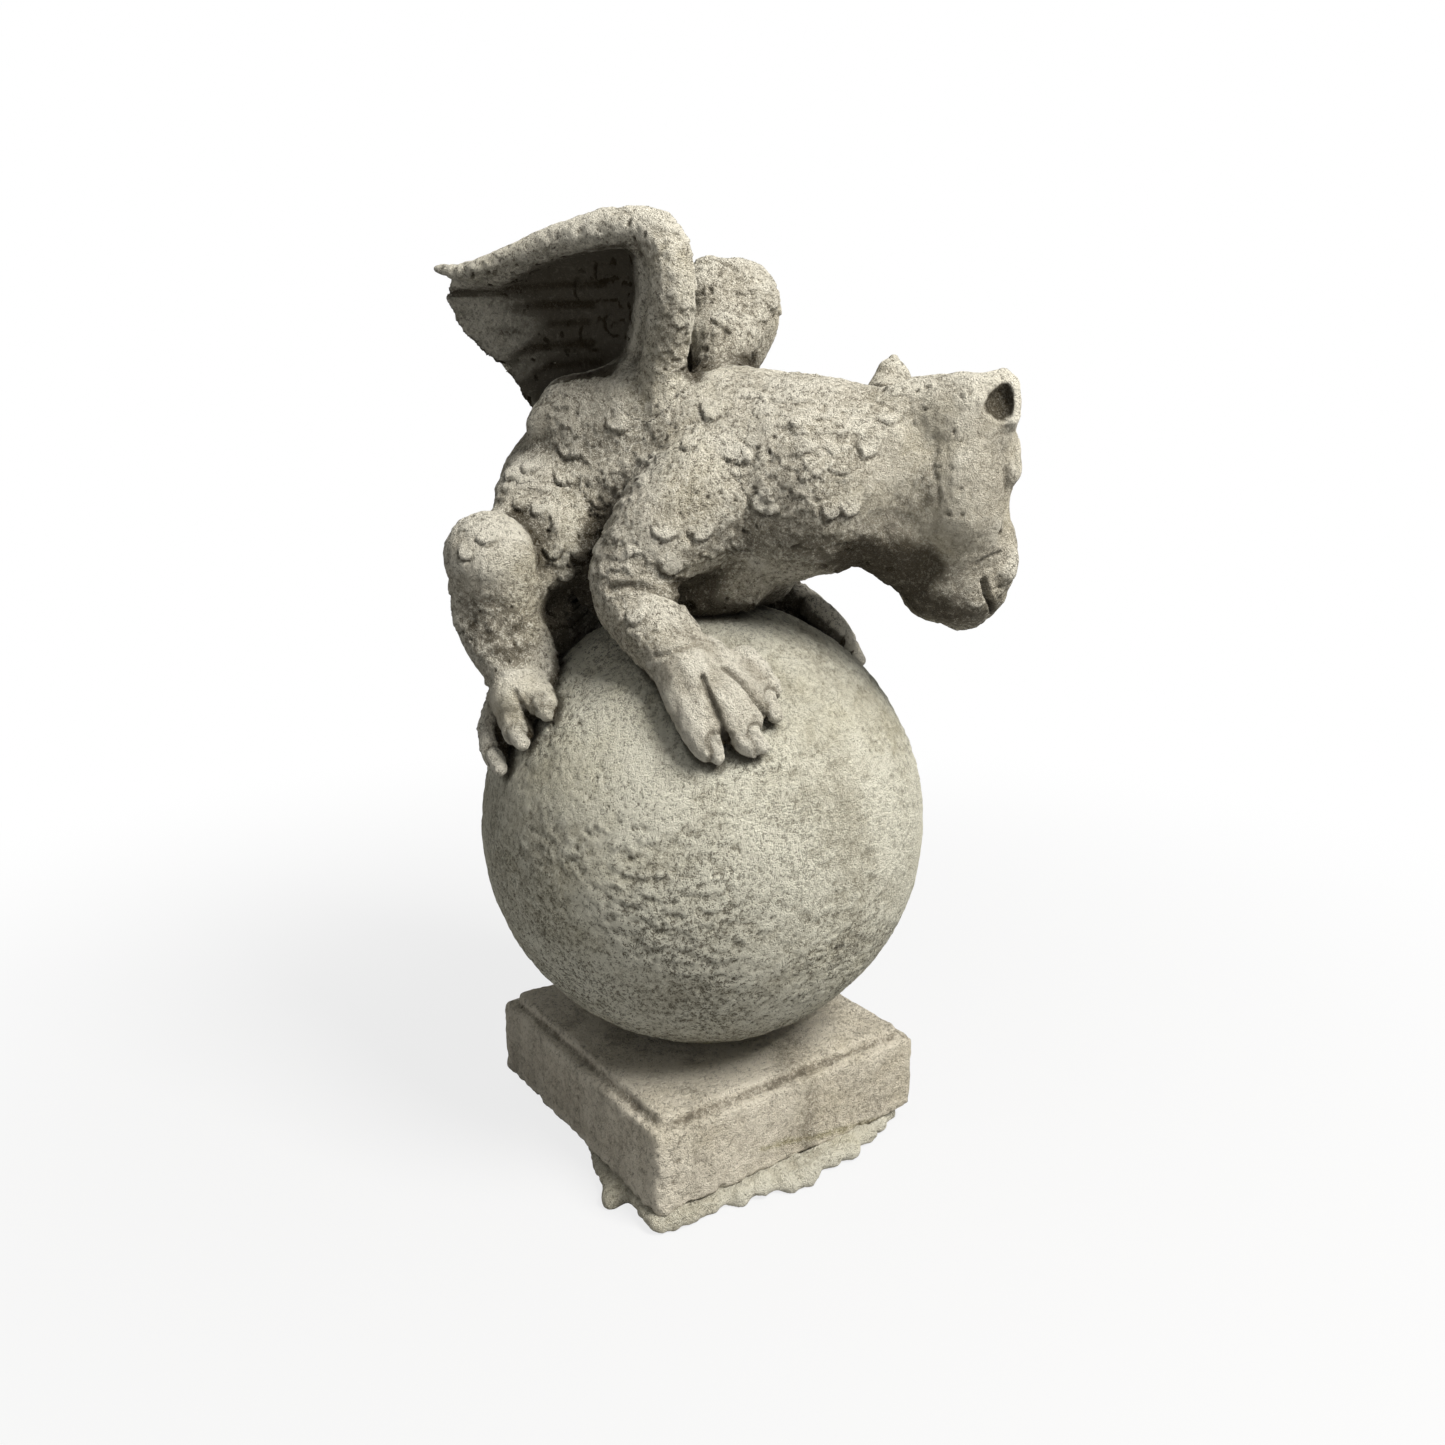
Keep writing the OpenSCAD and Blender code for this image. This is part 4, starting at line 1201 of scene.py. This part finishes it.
def stone(name, light, middle, dark, moss, eaten=0.0, painted_shade_strength=0.9, streaked=0.0):
    """Cast stone: pale on worn crests and painted highlights, darkened by painted shade in pits, grooves
    and hollows.
    """
    light, middle, dark, moss = (linear(*colour) for colour in (light, middle, dark, moss))
    s = Shader(bpy.data.materials.new(name))
    s.crumple(reach=1.4 * MM, scale=420)
    grain, fine = s.noise(430, 5, 0.74), s.noise(1400, 3, 0.6)
    cloud, mottle = s.noise(60, 5), s.noise(16, 4)
    worn = s.ramp(s.noise(24, 4), 0.38, 0.62, -0.02, 0.015)
    level = s.blend(grain, 0.62, fine, 0.38)
    level = s.math("SUBTRACT", s.math("SUBTRACT", level, worn), eaten)
    grit = s.attribute("grit")
    # Dark grains in low spots of the fine relief, partly grain and partly painted shade.
    specks_and_pit_shade = s.math("MULTIPLY", s.ramp(level, 0.405, 0.485, 1.0, 0.0), grit)
    # Pale crumbs on high spots of the fine relief, partly grain and partly painted highlight.
    crumbs = s.math("MULTIPLY", s.ramp(level, 0.51, 0.59, 0.0, 0.9), grit)
    wear_and_highlight = s.blend(s.attribute("wear_and_highlight"), 0.6, cloud, 0.6)
    # The light colour where wear and painted highlight lie.
    colour = s.mix(s.ramp(wear_and_highlight, 0.22, 0.75), middle, light)
    colour = s.mix(s.ramp(mottle, 0.48, 0.70, 0.0, 0.35), colour, moss)
    # Painted shade, with some soiling, from the two shade attributes, plus dark streaks that the stone has.
    shade = s.math("ADD", s.math("MULTIPLY", s.attribute("dirt_and_shade"), 0.5),
                   s.ramp(s.attribute("hollow"), 0.18, 0.82, 0.0, painted_shade_strength))
    streak = s.ramp(s.noise(50, 4, 0.6, (1, 1, 0.2)), 0.47, 0.70, 0.0, streaked)
    shade = s.math("ADD", shade, streak, clamp=True)
    colour = s.mix(s.math("MULTIPLY", s.attribute("moss"), 0.7), colour, MOSS)
    # The dark colour of the painted shade mixed in.
    colour = s.mix(shade, colour, dark)
    colour = s.mix(s.math("MULTIPLY", specks_and_pit_shade, 0.85), colour, s.mix(0.34, dark, middle))
    # Pale crumbs are damped where shade is painted.
    colour = s.mix(s.math("MULTIPLY", crumbs, s.ramp(shade, 0.25, 0.95, 1.0, 0.25)), colour, light)
    height = s.math("SUBTRACT", level, s.math("MULTIPLY", specks_and_pit_shade, 0.05))
    return s.finish(colour, 0.95, height, strength=1.0, distance=6.2 * MM)


def steel():
    s = Shader(bpy.data.materials.new("mill_steel"))
    streak = s.noise(300, 3, 0.5, (1, 1, 0.05))
    colour = s.mix(s.ramp(streak, 0.3, 0.7), STEEL, STEEL_LIGHT)
    rough = s.ramp(streak, 0.2, 0.8, 0.35, 0.55)
    return s.finish(colour, rough, streak, strength=0.15, distance=0.1 * MM, metal=1.0)


def bed_mortar():
    s = Shader(bpy.data.materials.new("bed_mortar"))
    cloud, grit = s.noise(90, 4), s.noise(480, 4)
    colour = s.mix(s.ramp(cloud, 0.35, 0.65), BED, BED_LIGHT)
    colour = s.mix(s.ramp(grit, 0.35, 0.55, 0.6, 0.0), colour, BED_DARK)
    return s.finish(colour, 0.95, grit, strength=0.7, distance=0.8 * MM)


# Camera, floor and light

def add_camera():
    data = bpy.data.cameras.new("camera")
    data.sensor_width = SENSOR
    data.lens = SENSOR * FOCAL / SIDE
    data.shift_x = (SIDE / 2 - PRINCIPAL[0]) / SIDE
    data.shift_y = (PRINCIPAL[1] - SIDE / 2) / SIDE
    data.clip_start, data.clip_end = 0.05, 20
    camera = add_object("camera", data)
    turn = Matrix((RIGHT, UP, -AHEAD)).transposed()
    camera.matrix_world = Matrix.Translation(Vector(EYE * MM)) @ turn.to_4x4()
    bpy.context.scene.camera = camera


# Half the floor's side and how far it lies below the part, in metres, and its grey
FLOOR_HALF = 6.0
FLOOR_DROP = 0.0005
FLOOR_GREY = (0.40, 0.40, 0.40, 1.0)


def floor_white():
    """White where it is looked at, a little less so round the object, and grey to the light."""
    s = Shader(bpy.data.materials.new("floor_white"))
    away = s.node("VectorMath", {0: s.place}, operation="LENGTH")
    white = s.ramp(away.outputs["Value"], 0.15, 0.75, 0.80, 1.0)
    grey = s.node("BsdfDiffuse", {"Color": FLOOR_GREY})
    glow = s.node("Emission", {"Color": WHITE, "Strength": 1.0})
    share = s.math("MULTIPLY", s.looked_at(), white)
    return s.show(s.node("MixShader", {0: share, 1: grey.outputs[0], 2: glow.outputs[0]}))


def add_floor():
    mesh = bpy.data.meshes.new("floor")
    corner = [(x * FLOOR_HALF, y * FLOOR_HALF, 0) for x, y in ((-1, -1), (1, -1), (1, 1), (-1, 1))]
    mesh.from_pydata(corner, [], [(0, 1, 2, 3)])
    mesh.materials.append(floor_white())
    floor = add_object("floor", mesh)
    floor.location.z = -FLOOR_DROP


def add_sky(strength):
    """Even white light from all around, and a white backdrop where it is looked at."""
    s = Shader(bpy.data.worlds.new("studio"))
    level = s.ramp(s.looked_at(), 0.0, 1.0, strength, 1.0)
    back = s.node("Background", {"Color": WHITE, "Strength": level})
    bpy.context.scene.world = s.show(back, "OutputWorld")


# How far above the ball's middle the lamp is aimed, in metres
LAMP_AIM = 0.08


def add_lamp(name, side, front, up, size, watts, colour):
    """A square lamp that far to the right, to the front and above the ball, turned to the figure."""
    data = bpy.data.lights.new(name, "AREA")
    data.size = size
    data.energy = watts
    data.color = colour
    lamp = add_object(name, data)
    flat_right = unit([RIGHT[0], RIGHT[1], 0])
    flat_front = -unit([AHEAD[0], AHEAD[1], 0])
    ball = Vector(BALL_C * MM)
    lamp.location = ball + Vector(flat_right * side + flat_front * front) + Vector((0, 0, up))
    lamp.rotation_mode = "QUATERNION"
    aim = ball + Vector((0, 0, LAMP_AIM)) - lamp.location
    lamp.rotation_quaternion = aim.to_track_quat("-Z", "Y")


def paint_inner_nodes(metal, mortar):
    for node in INNER:
        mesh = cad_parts[node].data
        mesh.materials.clear()
        mesh.materials.append(mortar if "mortar" in node else metal)


# light is the colour of worn crests and painted highlights, dark the colour of painted shade and dark
# grains.
figure_stone = stone("figure_stone", light=(226, 221, 205), middle=(184, 177, 160), dark=(58, 50, 35),
                     moss=(190, 180, 148))
ball_stone = stone("ball_stone", light=(224, 221, 203), middle=(190, 185, 166), dark=(66, 59, 44),
                   moss=(190, 182, 150), eaten=0.01)
plinth_stone = stone("plinth_stone", light=(228, 220, 201), middle=(202, 193, 174), dark=(86, 78, 63),
                     moss=(190, 178, 146), eaten=-0.01, painted_shade_strength=0.45, streaked=0.4)
mortar_stone = stone("mortar_stone", light=(222, 218, 200), middle=(196, 190, 170), dark=(104, 96, 76),
                     moss=(196, 186, 146), eaten=-0.02, painted_shade_strength=0.6)
foot_mortar = bed_mortar()
clay, label = model_figure()
add_figure(clay, label, figure_stone)
add_ball(clay, ball_stone)
plinth = worn_block("plinth", uneven=0.55, size=24, seed=4, soft=1.2, chips=60)
# The plinth's top gets a painted highlight.
add_block("plinth", plinth_stone, plinth, lump=0.5, fine=0.4, pit=0.8, seed=71,
          top=0.5, moss=PLINTH_MOSS)
add_mortar(mortar_stone)
bed = worn_block("ball_bed_mortar", uneven=0.3, size=6, seed=6, soft=0.6)
add_block("ball_bed_mortar", foot_mortar, bed, lump=0.3, fine=0.2, pit=0.2, seed=81)
paint_inner_nodes(steel(), foot_mortar)
add_camera()
add_floor()
add_sky(strength=0.36)
add_lamp("key", side=0.75, front=0.62, up=1.2, size=0.6, watts=46, colour=(1.0, 0.98, 0.95))
bpy.context.scene.view_settings.view_transform = "Standard"
